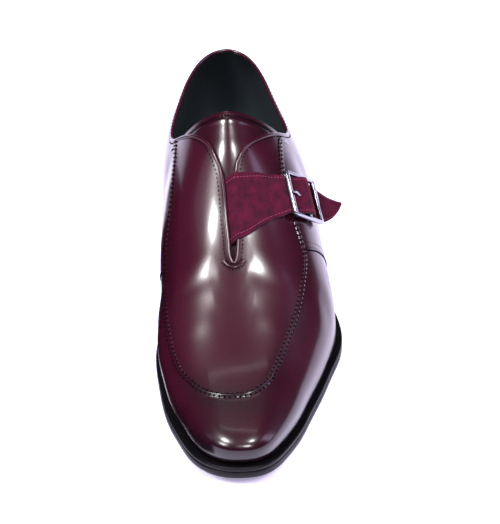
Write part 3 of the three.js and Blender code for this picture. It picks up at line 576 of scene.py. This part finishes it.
# side, round and up of the start, round and up of the end, half width in mm, depth in mm
CREASES = [
    (-1, 0.600, 0.93, 0.628, 0.62, 6.0, 0.45),
    (-1, 0.642, 0.90, 0.655, 0.66, 6.5, 0.35),
    (1, 0.598, 0.94, 0.622, 0.70, 6.0, 0.45),
    (1, 0.640, 0.90, 0.652, 0.72, 6.5, 0.35),
    (-1, 0.600, 0.40, 0.640, 0.26, 7.0, 0.40),
    (1, 0.590, 0.46, 0.634, 0.28, 7.0, 0.40),
    (-1, 0.300, 0.50, 0.345, 0.34, 8.0, 0.50),
    (1, 0.300, 0.50, 0.345, 0.36, 8.0, 0.50),
    (-1, 0.085, 0.40, 0.150, 0.30, 7.0, 0.35),
    (1, 0.085, 0.40, 0.150, 0.30, 7.0, 0.35),
]
# Millimetres that a crease's whole way round and whole way up are taken for, the ridge beside a
# trough as a share of its depth, and how much of the trough's fading is cut off at its ends
ROUND_MM, UP_MM = 309.0, 128.0
CREASE_RIDGE = 0.45
CREASE_END = 0.02


def edge_up(around, side):
    """How far up the opening's edge lies, or the ridge where there is no opening."""
    around = np.asarray(around, float)
    return np.where(around < SLIT_END - TINY, np.minimum(opening[side](around), 1), 1.0)


def creases(around, up, side):
    """Soft troughs, each with a low ridge beside it, as outward millimetres."""
    total = np.zeros(np.broadcast(around, up).shape)
    for which, a0, t0, a1, t1, width, depth in CREASES:
        if which != side:
            continue
        run = np.array([(a1 - a0) * ROUND_MM, (t1 - t0) * UP_MM])
        px, py = around * ROUND_MM - a0 * ROUND_MM, up * UP_MM - t0 * UP_MM
        k = np.clip((px * run[0] + py * run[1]) / (run @ run), 0, 1)
        fade = np.sin(np.clip(k, CREASE_END, 1 - CREASE_END) * math.pi) ** 0.5
        off = np.hypot(px - k * run[0], py - k * run[1])
        total = total - depth * fade * (hill(off, width) - CREASE_RIDGE * hill(off - 2 * width, width))
    return total


def outer_rows(side):
    """Ways up of the outside's rows, the height of the seam over each, and the tone: burnish along the seam,
    with painted shade in its groove.
    """
    edge = edge_up(AROUND, side)
    seam = apron[side](AROUND)
    reach = SEAM_WIDTH / 2 / stretch(AROUND, seam, side)
    top = np.minimum(seam + reach, edge - SEAM_STOP)
    foot = np.minimum(seam - reach, edge - SEAM_RUN_OUT)
    share = ease((edge - seam - reach) / SEAM_STOP + 1)
    none = np.zeros(len(AROUND))
    rows = []
    for k in np.linspace(0, 1, FOOT_ROWS, endpoint=False) ** FOOT_CROWDING:
        rows.append((EQUATOR * k + none, none, none))
    for k in np.linspace(0, 1, SIDE_ROWS, endpoint=False):
        rows.append((mix(EQUATOR, foot, k), none, SEAM_BURNISH_AND_SHADE * hill(1 - k, BELOW_DARK_WIDTH) + none))
    for k in np.linspace(0, 1, SEAM_ROWS):
        plateau = SEAM_SHOWS * ease(k / SEAM_SHOULDER) * ease((1 - k) / SEAM_SHOULDER)
        groove = GROOVE_DEPTH * hill(k - 0.5, GROOVE_WIDTH)
        # Painted shade in the seam's groove, on top of the seam's burnish
        dark = SEAM_BURNISH_AND_SHADE * (1 + hill(k - 0.5, GROOVE_SHADE_WIDTH))
        rows.append((mix(foot, top, k), SEAM_HEIGHT * share * plateau * (1 - groove), dark * share))
    for k in np.linspace(0, 1, TOP_ROWS)[1:]:
        rows.append((mix(top, edge, k), none, SEAM_BURNISH_AND_SHADE * hill(k, ABOVE_DARK_WIDTH) * share))
    return [np.stack(values, 1) for values in zip(*rows)]


def burnish_and_foot_shade(points):
    """Darker leather toward the sole, the toe and the heel: burnish, and toward the sole also painted shade
    where the side turns under to the welt.
    """
    s = points[..., 1]
    above = points[..., 2] - seat(s)
    toe = TOE_DARK * ease((s - TOE_DARK_FROM) / TOE_DARK_RUN)
    pale = TOE_PALE * hill(above - TOE_PALE_HEIGHT, TOE_PALE_WIDTH)
    back = HEEL_DARK * ease((HEEL_DARK_RUN - s) / HEEL_DARK_RUN)
    return FOOT_BURNISH_AND_SHADE * hill(above, FOOT_BURNISH_AND_SHADE_HEIGHT) + toe * (1 - pale) + back


def build_upper():
    """The outside and the lining. Gives the middle of the opening's edge on each side."""
    outside = Body()
    lining = Body()
    edges = {}
    around = AROUND[:, None]
    for side in (-1, 1):
        up, high, seam_burnish_and_shade = outer_rows(side)
        skin = surface(around, up, side, -high - creases(around, up, side))
        edge = edge_up(AROUND, side)
        below_edge = (edge[:, None] - up) * stretch(AROUND, NEAR_EDGE, side)[:, None]
        near = hill(below_edge, RIM_DARK_WIDTH) * (around < SLIT_END + RIM_DARK_STOP)
        # Tone: burnish, painted shade toward the sole and in the seam's groove, and burnished edges by the
        # opening
        outside.grid(skin, np.clip(burnish_and_foot_shade(skin) + seam_burnish_and_shade + RIM_DARK * near, 0, 1))
        inside_up = np.stack([mix(0.0, edge, k) for k in np.linspace(0, 1, LINING_ROWS)], 1)
        inside = surface(around, inside_up, side, WALL)
        lining.grid(inside)
        outside.grid(np.stack([skin[OPEN, -1], inside[OPEN, -1]], 1), CUT_DARK)
        outside.grid(np.stack([skin[:, 0], inside[:, 0]], 1), CUT_DARK)
        edges[side] = (skin[OPEN, -1] + inside[OPEN, -1]) / 2
    outside.build("upper_leather", LEATHER, "polished_leather", replaces=("upper",))
    lining.build("upper_lining", LINING, "lining", replaces=("upper",))
    return edges


def on_upper(around, up, side, out=0.0):
    """Points on the upper's outside and its outward normals there."""
    around, up = np.broadcast_arrays(np.asarray(around, float), np.asarray(up, float))
    step = 2e-3
    p = surface(around, up, side, -out - creases(around, up, side))
    da = surface(around + step, up, side) - surface(around - step, up, side)
    dt = surface(around, up + step, side) - surface(around, up - step, side)
    return p, unit(np.cross(da, dt) * side)


# Piping over the opening's edge: radius at the collar and down the facings, where it grows, lift
PIPING_AT_COLLAR, PIPING_AT_FACING = 1.0, 1.25
PIPING_GROWS_FROM, PIPING_GROWS_OVER = 0.24, 0.1
PIPING_LIFT = 0.15


def build_piping(edges):
    path = np.concatenate([edges[-1][::-1], edges[1][1:]]) + np.array([0, 0, PIPING_LIFT])
    around = np.concatenate([AROUND[OPEN][::-1], AROUND[OPEN][1:]])
    grown = ease((around - PIPING_GROWS_FROM) / PIPING_GROWS_OVER)
    tube("opening_piping", path, mix(PIPING_AT_COLLAR, PIPING_AT_FACING, grown), PIPING, sides=10)


build_piping(build_upper())

# Stitches on the upper: how far out they lie in millimetres, and on the apron's seam as a share of
# its height. The apron's rows: where they start, how far below the edge they stop, and half the
# millimetres between them.
STITCH_LIFT, SEAM_STITCH_LIFT = 0.05, 0.55
APRON_FROM, APRON_STOP, APRON_ROW = 0.27, 0.02, 1.15
APRON_POINTS, OPENING_POINTS = 500, 260
# name, way round of the start and the end, and millimetres below the edge
OPENING_ROWS = [("collar_stitches", 0.0, 0.25, 2.4), ("facing_stitches", 0.25, 0.579, 2.7)]


def stitch_apron():
    """Two rows, one on each side of the seam's groove, round the toe from side to side."""
    around = np.linspace(APRON_FROM, 1.0, APRON_POINTS)
    lines = []
    for way in (-1, 1):
        halves = []
        for side in (-1, 1):
            seam = apron[side](around)
            up = seam + way * APRON_ROW / stretch(around, seam, side)
            sewn = up < edge_up(around, side) - APRON_STOP
            halves.append(on_upper(around[sewn], up[sewn], side, SEAM_HEIGHT * SEAM_STITCH_LIFT))
        lines.append([np.concatenate([inner, outer[::-1][1:]]) for inner, outer in zip(*halves)])
    stitches("apron_stitches", lines, THREAD)


def stitch_opening():
    """Small stitches round the collar, larger ones down the facings."""
    for name, start, end, inset in OPENING_ROWS:
        around = np.linspace(start, end, OPENING_POINTS)
        rows = []
        for side in (-1, 1):
            edge = edge_up(around, side)
            up = edge - inset / stretch(around, edge - BELOW_EDGE, side)
            rows.append(on_upper(around, up, side, STITCH_LIFT))
        stitches(name, rows, THREAD)


stitch_apron()
stitch_opening()

# Quarter seams from the apron seam down to the sole: round and up of points on the way
QUARTER = {
    1: [(0.520, 0.545), (0.512, 0.500), (0.498, 0.430), (0.484, 0.350), (0.470, 0.270), (0.460, 0.180),
        (0.452, 0.02)],
    -1: [(0.535, 0.440), (0.526, 0.400), (0.512, 0.350), (0.498, 0.290), (0.486, 0.230), (0.478, 0.160),
         (0.472, 0.02)],
}
QUARTER_STEP = 0.004
QUARTER_RADIUS, QUARTER_LIFT = 0.42, 0.12
# Ways round from the seam back to its two rows of stitches
QUARTER_ROWS = (0.006, 0.016)


def build_quarter_seams():
    rows = []
    for side, table in QUARTER.items():
        around, up = resample(np.array(table), QUARTER_STEP).T
        path = on_upper(around, up, side, QUARTER_LIFT)[0]
        name = "quarter_seam_outer" if side > 0 else "quarter_seam_inner"
        tube(name, path, QUARTER_RADIUS, THREAD, sides=6)
        rows += [on_upper(around - back, up, side, STITCH_LIFT) for back in QUARTER_ROWS]
    stitches("quarter_stitches", rows, THREAD)


build_quarter_seams()

# Crescent of stitching under the slit: ways round beyond the slit's end and back at its horns, way
# up from the ridge to a horn, its radius and lift, and half the length of a stitch's line
TACK_BEYOND, TACK_HORNS, TACK_SPREAD = 0.008, 0.014, 0.052
TACK_RADIUS, TACK_LIFT, TACK_HALF = 0.8, 0.25, 1.5
TACK_STITCHES, TACK_MARGIN, TACK_POINTS, TACK_STEP = 10, 2, 40, 0.5
# Way out of the vamp there, and how far its stitches lie out
VAMP_NORMAL = np.array([0.0, 0.45, 0.9])
TACK_STITCH_LIFT = np.array([0.0, 0.25, 0.55])


def build_bar_tack():
    turn = np.linspace(-1, 1, TACK_POINTS)
    halves = []
    for side in (-1, 1):
        k = np.abs(turn[turn * side >= 0])
        around = SLIT_END + TACK_BEYOND - TACK_HORNS * k ** 2
        halves.append(on_upper(around, 1 - TACK_SPREAD * k, side, TACK_LIFT)[0])
    crescent = resample(np.concatenate(halves), TACK_STEP)
    tube("slit_bar_tack", crescent, TACK_RADIUS, PIPING, sides=8)
    ways = np.gradient(crescent, axis=0)
    rows = []
    for i in np.linspace(TACK_MARGIN, len(crescent) - 1 - TACK_MARGIN, TACK_STITCHES).astype(int):
        across = unit(np.cross(ways[i], VAMP_NORMAL)) * TACK_HALF
        line = np.stack([crescent[i] - across, crescent[i] + across]) + TACK_STITCH_LIFT
        rows.append((line, np.tile(VAMP_NORMAL, (2, 1))))
    stitches("slit_tack_stitches", rows, THREAD)


build_bar_tack()

# Tongue
tongue_round, tongue_trail, tongue_reach = (column(TONGUE, k) for k in (1, 2, 3))
TONGUE_DEPTH = WALL + CLEARANCE + STRAP_THICKNESS + CLEARANCE
# Hem near the free end: share of the length, width and height of its ridge and of its groove
HEM_RIDGE, HEM_GROOVE = (0.075, 0.012, 0.35), (0.055, 0.01, 0.25)
# Row of stitches along the hem, and a point inside the shoe that they face away from
HEM_STITCH_AT, HEM_STITCH_TO, HEM_STITCH_LIFT = 0.045, 0.94, 0.25
TONGUE_CENTRE = np.array([-8.0, 118.0, 60.0])
# Tone of the tongue: all over, painted shade toward its edges where they go under the facings, in the hem,
# and painted shade toward the end that goes under the strap and the vamp
TONGUE_DARK, SIDES_SHADE, SIDES_SHADE_POWER = 0.25, 0.5, 3
HEM_DARK, HEM_DARK_AT, HEM_DARK_WIDTH = 0.35, 0.06, 0.02
END_SHADE, END_SHADE_FROM, END_SHADE_RUN = 0.6, 0.3, 0.3
TONGUE_ROWS, TONGUE_COLUMNS, HEM_POINTS = 90, 61, 120


def tongue_point(v, u, depth):
    """v from the free end to the hidden one, u from the inner edge at -1 to the outer at 1."""
    side = np.where(u < 0, -1, 1)
    up = 1 - np.abs(u) * (1 - tongue_reach(v))
    around = tongue_round(v) + tongue_trail(v) * u * u
    free = ease(1 - v / TONGUE_FREE)
    lift = np.stack([0 * free, -TONGUE_LEAN * TONGUE_LIFT * free, TONGUE_LIFT * free], -1)
    return surface(around, up, side, depth) + lift


def build_tongue():
    v, u = np.meshgrid(np.linspace(0, 1, TONGUE_ROWS), np.linspace(-1, 1, TONGUE_COLUMNS), indexing="ij")
    hem = sum(way * high * hill(v - at, width)
              for way, (at, width, high) in ((1, HEM_RIDGE), (-1, HEM_GROOVE)))
    outside = tongue_point(v, u, TONGUE_DEPTH - hem)
    inside = tongue_point(v, u, TONGUE_DEPTH + TONGUE_THICKNESS)
    # Painted shade toward the sides under the facings and toward the end under the strap and the vamp
    dark = TONGUE_DARK + SIDES_SHADE * np.abs(u) ** SIDES_SHADE_POWER
    dark = dark + HEM_DARK * hill(v - HEM_DARK_AT, HEM_DARK_WIDTH)
    dark = dark + END_SHADE * ease((v - END_SHADE_FROM) / END_SHADE_RUN)
    tongue = Body()
    tongue.grid(outside, np.clip(dark, 0, 1))
    tongue.grid(inside, CUT_DARK)
    for pair in ((outside[0], inside[0]), (outside[-1], inside[-1]),
                 (outside[:, 0], inside[:, 0]), (outside[:, -1], inside[:, -1])):
        tongue.grid(np.stack(pair, 1), EDGE_DARK)
    tongue.build("tongue_leather", LEATHER, "polished_leather", sharp=50, replaces=("tongue",))
    across = np.linspace(-HEM_STITCH_TO, HEM_STITCH_TO, HEM_POINTS)
    row = tongue_point(HEM_STITCH_AT + 0 * across, across, TONGUE_DEPTH - HEM_STITCH_LIFT)
    stitches("tongue_stitches", [(row, row - TONGUE_CENTRE)], THREAD)


build_tongue()

# Strap and buckle. In the buckle's frame x runs along the strap, y along its bars and z outward.
LOOP_RADIUS = PIN_RADIUS + CLEARANCE + TAB_THICKNESS
BUCKLE_LIFT = LOOP_RADIUS + 2 * CLEARANCE
STRAP_LOW = -BAR_THICKNESS / 2 - CLEARANCE - STRAP_THICKNESS / 2
STRAP_HIGH = LOOP_RADIUS + CLEARANCE + STRAP_THICKNESS / 2
HALF_BUCKLE = BUCKLE_LENGTH / 2
UNDER = WALL + CLEARANCE + STRAP_THICKNESS / 2
OVER = CLEARANCE + STRAP_THICKNESS / 2
# Way up at which millimetres near the ridge are measured, the way up that shows which way is down,
# and how many steps the search for the side under a point takes
NEAR_RIDGE = 0.9
DOWN_STEP = 0.01
SEARCH_STEPS = 12
# Shares of the strap's width at which its rows have points, and of its way over the outer facing
WIDTHS = np.array([0, 0.14, 0.32, 0.5, 0.68, 0.86, 1])
FACING_ROWS = (0.12, 0.28, 0.46, 0.64, 0.82, 1.0)
# Steps over the middle bar, and how much finer the shown strap is along and across
BAR_STEPS = 12
FINER_ALONG, FINER_ACROSS = 7, 5
# Rounding of the nap at its edges, and the stitch rows' place across and first and last points
NAP_ROUND, NAP_ROUND_POINTS = 0.3, 1.6
STRAP_ROWS = (0.085, 0.915)
STRAP_ROW_FROM, STRAP_ROW_TO = 16, -12


def seat_point(around, up):
    return surface(BUCKLE_ROUND + around, BUCKLE_UP + up, 1)


bar_way = unit(seat_point(BAR_REACH, -BAR_DROP) - seat_point(-BAR_REACH, BAR_DROP))
down = seat_point(0, -DOWN_STEP) - seat_point(0, DOWN_STEP)
strap_way = unit(down - bar_way * (down @ bar_way))
off_way = np.cross(strap_way, bar_way)
off_way = off_way * np.sign(off_way[0])
buckle_at = seat_point(0, 0) + off_way * BUCKLE_LIFT


def place(x, y, z):
    """Carries a point from the buckle's frame into the shoe's."""
    x, y, z = np.broadcast_arrays(*(np.asarray(q, float)[..., None] for q in (x, y, z)))
    return buckle_at + x * strap_way + y * bar_way + z * off_way


def side_under(px, py):
    """The z of the shoe's side under a point of the buckle's plane."""
    around, up, step = BUCKLE_ROUND, BUCKLE_UP, 1e-4

    def local(a, t):
        d = surface(a, t, 1) - buckle_at
        return np.array([d @ strap_way, d @ bar_way, d @ off_way])
    for _ in range(SEARCH_STEPS):
        p, a, b = local(around, up), local(around + step, up), local(around, up + step)
        slopes = np.stack([(a - p)[:2], (b - p)[:2]], 1) / step
        move = np.linalg.solve(slopes, [px - p[0], py - p[1]])
        around, up = around + move[0], up + move[1]
    return local(around, up)[2]


ankle_round, ankle_up, toe_round, toe_up = (column(STRAP, k) for k in (1, 2, 3, 4))


def beside(side, past, depth):
    """A row of the strap past a facing's edge by some millimetres."""
    around = mix(ankle_round(0), toe_round(0), WIDTHS)
    up = opening[side](around) + past / stretch(around, NEAR_RIDGE, side)
    return surface(around, up, side, depth)


def strap_rows():
    """Rows of the strap's middle layer, from under the inner facing to its pointed end."""
    rows = [beside(-1, past, UNDER) for past in (-STRAP_TUCK, -STRAP_TUCK / 2, STRAP_LANDING)]
    rows.append(beside(1, STRAP_LANDING, -OVER))
    for k in FACING_ROWS:
        rows.append(surface(mix(ankle_round(k), toe_round(k), WIDTHS),
                            mix(ankle_up(k), toe_up(k), WIDTHS), 1, -OVER))
    for share, ankle, toe in APPROACH:
        x = mix(-HALF_BUCKLE - STRAP_APPROACH, -HALF_BUCKLE, share)
        y = mix(ankle, toe, WIDTHS) * STRAP_WIDTH / 2
        z = np.array([mix(side_under(x, q) + SLOPE_GAP * OVER, STRAP_LOW, ease(share)) for q in y])
        rows.append(place(x, y, z))
    reach = HALF_BUCKLE - BAR_WIDTH / 2 - CLEARANCE
    for i in range(BAR_STEPS + 1):
        along = 2 * i / BAR_STEPS - 1
        z = mix(STRAP_LOW, STRAP_HIGH, (1 + math.cos(math.pi * along)) / 2)
        rows.append(place(reach * along, mix(-1, 1, WIDTHS) * STRAP_WIDTH / 2, z))
    for along, rise, ankle, toe in TAIL:
        rows.append(place(HALF_BUCKLE + along * TAIL_LENGTH,
                          mix(ankle, toe, WIDTHS) * STRAP_WIDTH / 2, STRAP_LOW + rise * TAIL_RISE))
    return np.array(rows)


def finer(rows, between):
    """More rows on a smooth curve through the given ones."""
    n = len(rows)
    fine = []
    for i in range(n - 1):
        before = rows[max(i - 1, 0)]
        after = rows[min(i + 2, n - 1)]
        a, b = rows[i], rows[i + 1]
        gap = np.linalg.norm(b - a, axis=-1, keepdims=True)
        g0 = np.linalg.norm(a - before, axis=-1, keepdims=True) if i else gap
        g1 = np.linalg.norm(after - b, axis=-1, keepdims=True) if i < n - 2 else gap
        m0 = (b - before) / (g0 + gap) * gap if i else b - a
        m1 = (after - a) / (g1 + gap) * gap if i < n - 2 else b - a
        for t in np.linspace(0, 1, between, endpoint=False):
            fine.append((2 * t ** 3 - 3 * t ** 2 + 1) * a + (t ** 3 - 2 * t ** 2 + t) * m0
                        + (3 * t ** 2 - 2 * t ** 3) * b + (t ** 3 - t ** 2) * m1)
    fine.append(rows[-1])
    return np.array(fine)


def build_strap():
    """The nap, the cut edges with the underside, and a row of pink stitches along each edge."""
    fine = finer(strap_rows(), FINER_ALONG)
    fine = finer(fine.transpose(1, 0, 2), FINER_ACROSS).transpose(1, 0, 2)
    normal = unit(np.cross(np.gradient(fine, axis=0), np.gradient(fine, axis=1)))
    if normal[len(fine) // 2, fine.shape[1] // 2] @ off_way < 0:
        normal = -normal
    columns = np.arange(fine.shape[1])
    rounding = NAP_ROUND * hill(np.minimum(columns, columns[::-1]), NAP_ROUND_POINTS)
    top = fine + normal * STRAP_THICKNESS / 2 - normal * rounding[None, :, None]
    under = fine - normal * STRAP_THICKNESS / 2
    nap = Body()
    nap.grid(top)
    nap.build("strap_suede", SUEDE, "suede", replaces=("strap",))
    edges = Body()
    edges.grid(under)
    for pair in ((top[0], under[0]), (top[-1], under[-1]),
                 (top[:, 0], under[:, 0]), (top[:, -1], under[:, -1])):
        edges.grid(np.stack(pair, 1))
    edges.build("strap_edges", CUT, "suede", replaces=("strap",))
    lines = []
    for share in STRAP_ROWS:
        place_across = share * columns[-1]
        k = int(place_across)
        row = mix(top[:, k], top[:, k + 1], place_across - k)
        lines.append((row[STRAP_ROW_FROM:STRAP_ROW_TO], normal[STRAP_ROW_FROM:STRAP_ROW_TO, k]))
    stitches("strap_stitches", lines, PINK)


def smooth_copy(node, name, material, slot, sharp):
    """A smoothly shaded stand-in for a hard solid."""
    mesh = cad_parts[node].data.copy()
    mesh.name = name
    merge_corners(mesh, COPY_CORNERS_MEET, False)
    mesh.materials.clear()
    mesh.polygons.foreach_set("material_index", [0] * len(mesh.polygons))
    add_piece(name, mesh, material, slot, sharp, (node,))


build_strap()
smooth_copy("buckle_frame", "buckle_bars", METAL, "buckle_metal", 40)
smooth_copy("buckle_prong", "buckle_pin", METAL, "buckle_metal", 50)
smooth_copy("buckle_tab", "buckle_loop", PIPING, "polished_leather", 40)

# Sole, welt, heel and footbed
FINE = stations((0, HEEL_FAN, TOE_FAN, 1), (48, 90, 64))

# Rims of sole and welt from below upward, as inset and height in millimetres, first from the lower
# face and then from the upper one
SOLE_RIM = [(1.2, 0.0), (0.75, 0.18), (0.3, 0.55), (0.05, 1.1), (0.0, 2.4)]
SOLE_TOP = [(0.0, -0.8), (0.12, -0.3), (0.45, 0.0)]
WELT_RIM = [(3.0, 0.0), (0.5, 0.0), (0.15, 0.25), (0.0, 0.7)]
WELT_TOP = [(0.0, -0.9), (0.2, -0.4), (0.6, -0.1), (1.0, 0.0), (1.9, -0.12)]
WELT_STITCH_INSET = 0.5
# Levels of the heel, levels in one of its lifts, and the groove between two lifts
HEEL_LEVELS, LIFT_LEVELS, LIFT_GROOVE = 24, 6, 0.14
# Filler under the footbed: inset and gap over the outsole. Footbed's rim: extra depth, then height
# as a share of its thickness
FILLER_INSET, FILLER_GAP = 7.4, 0.2
BED_RIM = [(0.0, 0.0), (0.0, 0.5), (0.1, 0.85), (0.7, 1.0)]
# Points across a flat end and across the heel's breast, along the heel's sides and the welt's row
END_POINTS, BREAST_POINTS, HEEL_SIDE_POINTS, WELT_ROW_POINTS = 13, 9, 20, 900


def strip(left, right, count):
    """Rows of points straight across from one edge to the other."""
    u = np.linspace(0, 1, count)[None, :, None]
    return left[:, None] * (1 - u) + right[:, None] * u


def ringed(profile, rounds, closed=True):
    """A body whose rim follows a profile from below upward, with flat ends where it is closed."""
    body = Body()
    rims = {side: np.stack([point(rounds, side) for point in profile], 1) for side in (-1, 1)}
    for side in (-1, 1):
        body.grid(rims[side])
    for k in (0, -1) if closed else ():
        body.grid(strip(rims[-1][:, k], rims[1][:, k], END_POINTS))
    return body


def rim_at(inset, base, over=0.0):
    """A ring of the sole's outline, moved in by an even inset, at some height over a base."""
    return lambda around, side: outline(around, side, lambda s: inset + 0 * s, lambda s: base(s) + over)


def build_sole():
    rims = [rim_at(inset, sole_bottom, over) for inset, over in SOLE_RIM]
    rims += [rim_at(inset, sole_bottom, SOLE_THICKNESS + over) for inset, over in SOLE_TOP]
    ringed(rims, FINE).build("sole_leather", EDGE, "sole", sharp=50, replaces=("outsole",))


def welt_inner(around, side):
    return outline(around, side, lambda s: edge_out(s) + WALL + WELT_LAP, seat)


def build_welt():
    rims = [rim_at(inset, welt_bottom, over) for inset, over in WELT_RIM]
    rims += [rim_at(inset, seat, over) for inset, over in WELT_TOP]
    ringed([*rims, welt_inner], FINE, False).build("welt_strip", EDGE, "sole", sharp=60, replaces=("welt",))
    rows = []
    for side in (-1, 1):
        around = np.linspace(0, 1, WELT_ROW_POINTS)
        row = outline(around, side, lambda s: edge_out(s) / 2 + WELT_STITCH_INSET, seat)
        rows.append((row, np.tile([0.0, 0.0, 1.0], (len(row), 1))))
    stitches("welt_stitches", rows, EDGE, "sole")


def heel_rim(inset, share):
    """A ring of the heel, share 0 at the floor and 1 under the sole."""
    def point(around, side):
        p = outline(around, side, lambda s: inset + 0 * s, sole_bottom)
        back = np.clip((p[..., 1] - HEEL_RADIUS) / (HEEL_DEPTH - HEEL_RADIUS), 0, 1)
        p[..., 1] -= HEEL_RAKE * (1 - share) * back
        p[..., 2] = share * (sole_bottom(p[..., 1]) - CLEARANCE)
        return p
    return point


def build_heel():
    """The stack of lifts, with a fine groove between two of them, and the breast in front."""
    front = mix(HEEL_FAN, TOE_FAN, (HEEL_DEPTH - HEEL_RADIUS) / (SHOE_LENGTH - TOE_RADIUS - HEEL_RADIUS))
    rounds = np.concatenate([FINE[FINE < HEEL_FAN], np.linspace(HEEL_FAN, front, HEEL_SIDE_POINTS)])
    layers = []
    for level in range(HEEL_LEVELS + 1):
        share = level / HEEL_LEVELS
        groove = LIFT_GROOVE if level % LIFT_LEVELS == 0 and 0 < share < 1 else 0
        layers.append(heel_rim(HEEL_INSET + HEEL_TAPER * (1 - share) + groove, share))
    heel = ringed(layers, rounds)
    breast = [np.stack([point(rounds[-1:], side)[0] for point in layers]) for side in (-1, 1)]
    heel.grid(strip(*breast, BREAST_POINTS))
    heel.build("heel_stack", EDGE, "sole", sharp=40, replaces=("heel",))


def bed_rim(depth, high):
    """A ring inside the upper at some height over the seat."""
    return lambda around, side: surface(around, EQUATOR * high / equator_height(rib(around)[0]), side, depth)


def build_footbed():
    rims = [rim_at(FILLER_INSET, welt_bottom, FILLER_GAP), rim_at(FILLER_INSET, seat, CLEARANCE)]
    rims += [bed_rim(WALL + FOOTBED_GAP + more, share * INSOLE_THICKNESS) for more, share in BED_RIM]
    ringed(rims, FINE).build("footbed", FOOTBED, "lining", sharp=60, replaces=("insole",))


build_sole()
build_welt()
build_heel()
build_footbed()


# Floor, card and light, in metres
def prop(name, points, faces, material):
    """A thing that stands by for the picture and isn't part of the shoe."""
    mesh = bpy.data.meshes.new(name)
    mesh.from_pydata(points, [], faces)
    mesh.materials.append(material)
    thing = bpy.data.objects.new(name, mesh)
    bpy.context.scene.collection.objects.link(thing)
    return thing


FLOOR_HALF, FLOOR_Z = 4, -0.0003
corners = [(x * FLOOR_HALF, y * FLOOR_HALF, FLOOR_Z) for x, y in ((-1, -1), (1, -1), (1, 1), (-1, 1))]
floor = prop("floor", corners, [(0, 1, 2, 3)], PAPER)

# A dark card where the pair's other shoe stood, seen only as a reflection in the inner side
card = prop("dark_card",
            [(-0.061, 0.07, 0), (-0.061, -0.06, 0), (-0.045, -0.15, 0), (-0.085, -0.17, 0.05),
             (-0.10, -0.06, 0.07), (-0.10, 0.06, 0.08), (-0.16, 0.24, 0)],
            [(0, 1, 4, 5), (1, 2, 3, 4), (0, 5, 6)], EDGE)
card.visible_camera = False
card.visible_diffuse = False
card.visible_shadow = False

WORLD_COLOR, WORLD_STRENGTH = (0.93, 0.92, 1.0, 1), 0.07
world = bpy.data.worlds.new("studio")
bpy.context.scene.world = world
world.use_nodes = True
world.node_tree.nodes["Background"].inputs["Color"].default_value = WORLD_COLOR
world.node_tree.nodes["Background"].inputs["Strength"].default_value = WORLD_STRENGTH

# Soft boxes: name, place, aim, size, power in watts and colour
WHITE = (1, 1, 1)
LIGHTS = [
    ("key", (-0.45, -0.19, 1.15), (0, -0.04, 0.05), (0.24, 0.20), 17, WHITE),
    ("fill", (0.34, -0.20, 1.15), (0, -0.04, 0.05), (0.15, 0.15), 7, WHITE),
    ("toe_inner", (-0.80, -0.62, 1.05), (0, -0.14, 0.03), (0.34, 0.34), 16, WHITE),
    ("toe_outer", (0.24, -0.88, 1.10), (0, -0.14, 0.03), (0.26, 0.30), 13, WHITE),
    ("left", (-1.1, -0.1, 0.8), (0, 0, 0.0), (0.3, 1.0), 1.0, (0.87, 0.84, 1.0)),
    ("right", (1.1, -0.1, 0.6), (0, 0, 0.0), (0.3, 1.0), 5.5, (0.72, 0.66, 1.0)),
    ("vamp_band", (0.03, 0.27, 1.12), (0, -0.08, 0.04), (0.8, 0.05), 0.6, WHITE),
    ("tongue_top", (-0.05, 0.60, 1.05), (0, 0.0, 0.1), (0.4, 0.07), 0.8, WHITE),
]


def turned(place_at, aim):
    """Rotation of a light or camera that looks from its place at its aim."""
    return (Vector(aim) - Vector(place_at)).to_track_quat("-Z", "Y").to_euler()


for name, place_at, aim, size, power, color in LIGHTS:
    light = bpy.data.lights.new(name, "AREA")
    light.shape = "RECTANGLE"
    light.size, light.size_y = size
    light.energy = power
    light.color = color
    lamp = bpy.data.objects.new(name, light)
    bpy.context.scene.collection.objects.link(lamp)
    lamp.location = place_at
    lamp.rotation_euler = turned(place_at, aim)

# The camera stands where the photograph's did, before and above the pair, turned to the one shoe
PAIR_MIDDLE = np.array([-60.0, 134.0, 30.0])
CAMERA_AIM = np.array([4.0, 137.0, 30.0])
CAMERA_DISTANCE = 1700.0
CAMERA_ELEVATION = math.radians(40)
SENSOR_WIDTH, LENS, CLIP_START = 36, 195.5, 0.05

from_middle = np.array([0, math.cos(CAMERA_ELEVATION), math.sin(CAMERA_ELEVATION)])
eye_at = metres(PAIR_MIDDLE + CAMERA_DISTANCE * from_middle)
camera_data = bpy.data.cameras.new("camera")
camera_data.sensor_width = SENSOR_WIDTH
camera_data.lens = LENS
camera_data.clip_start = CLIP_START
camera = bpy.data.objects.new("camera", camera_data)
bpy.context.scene.collection.objects.link(camera)
camera.location = eye_at
camera.rotation_euler = turned(eye_at, metres(CAMERA_AIM))
bpy.context.scene.camera = camera
bpy.context.scene.view_settings.view_transform = "Standard"
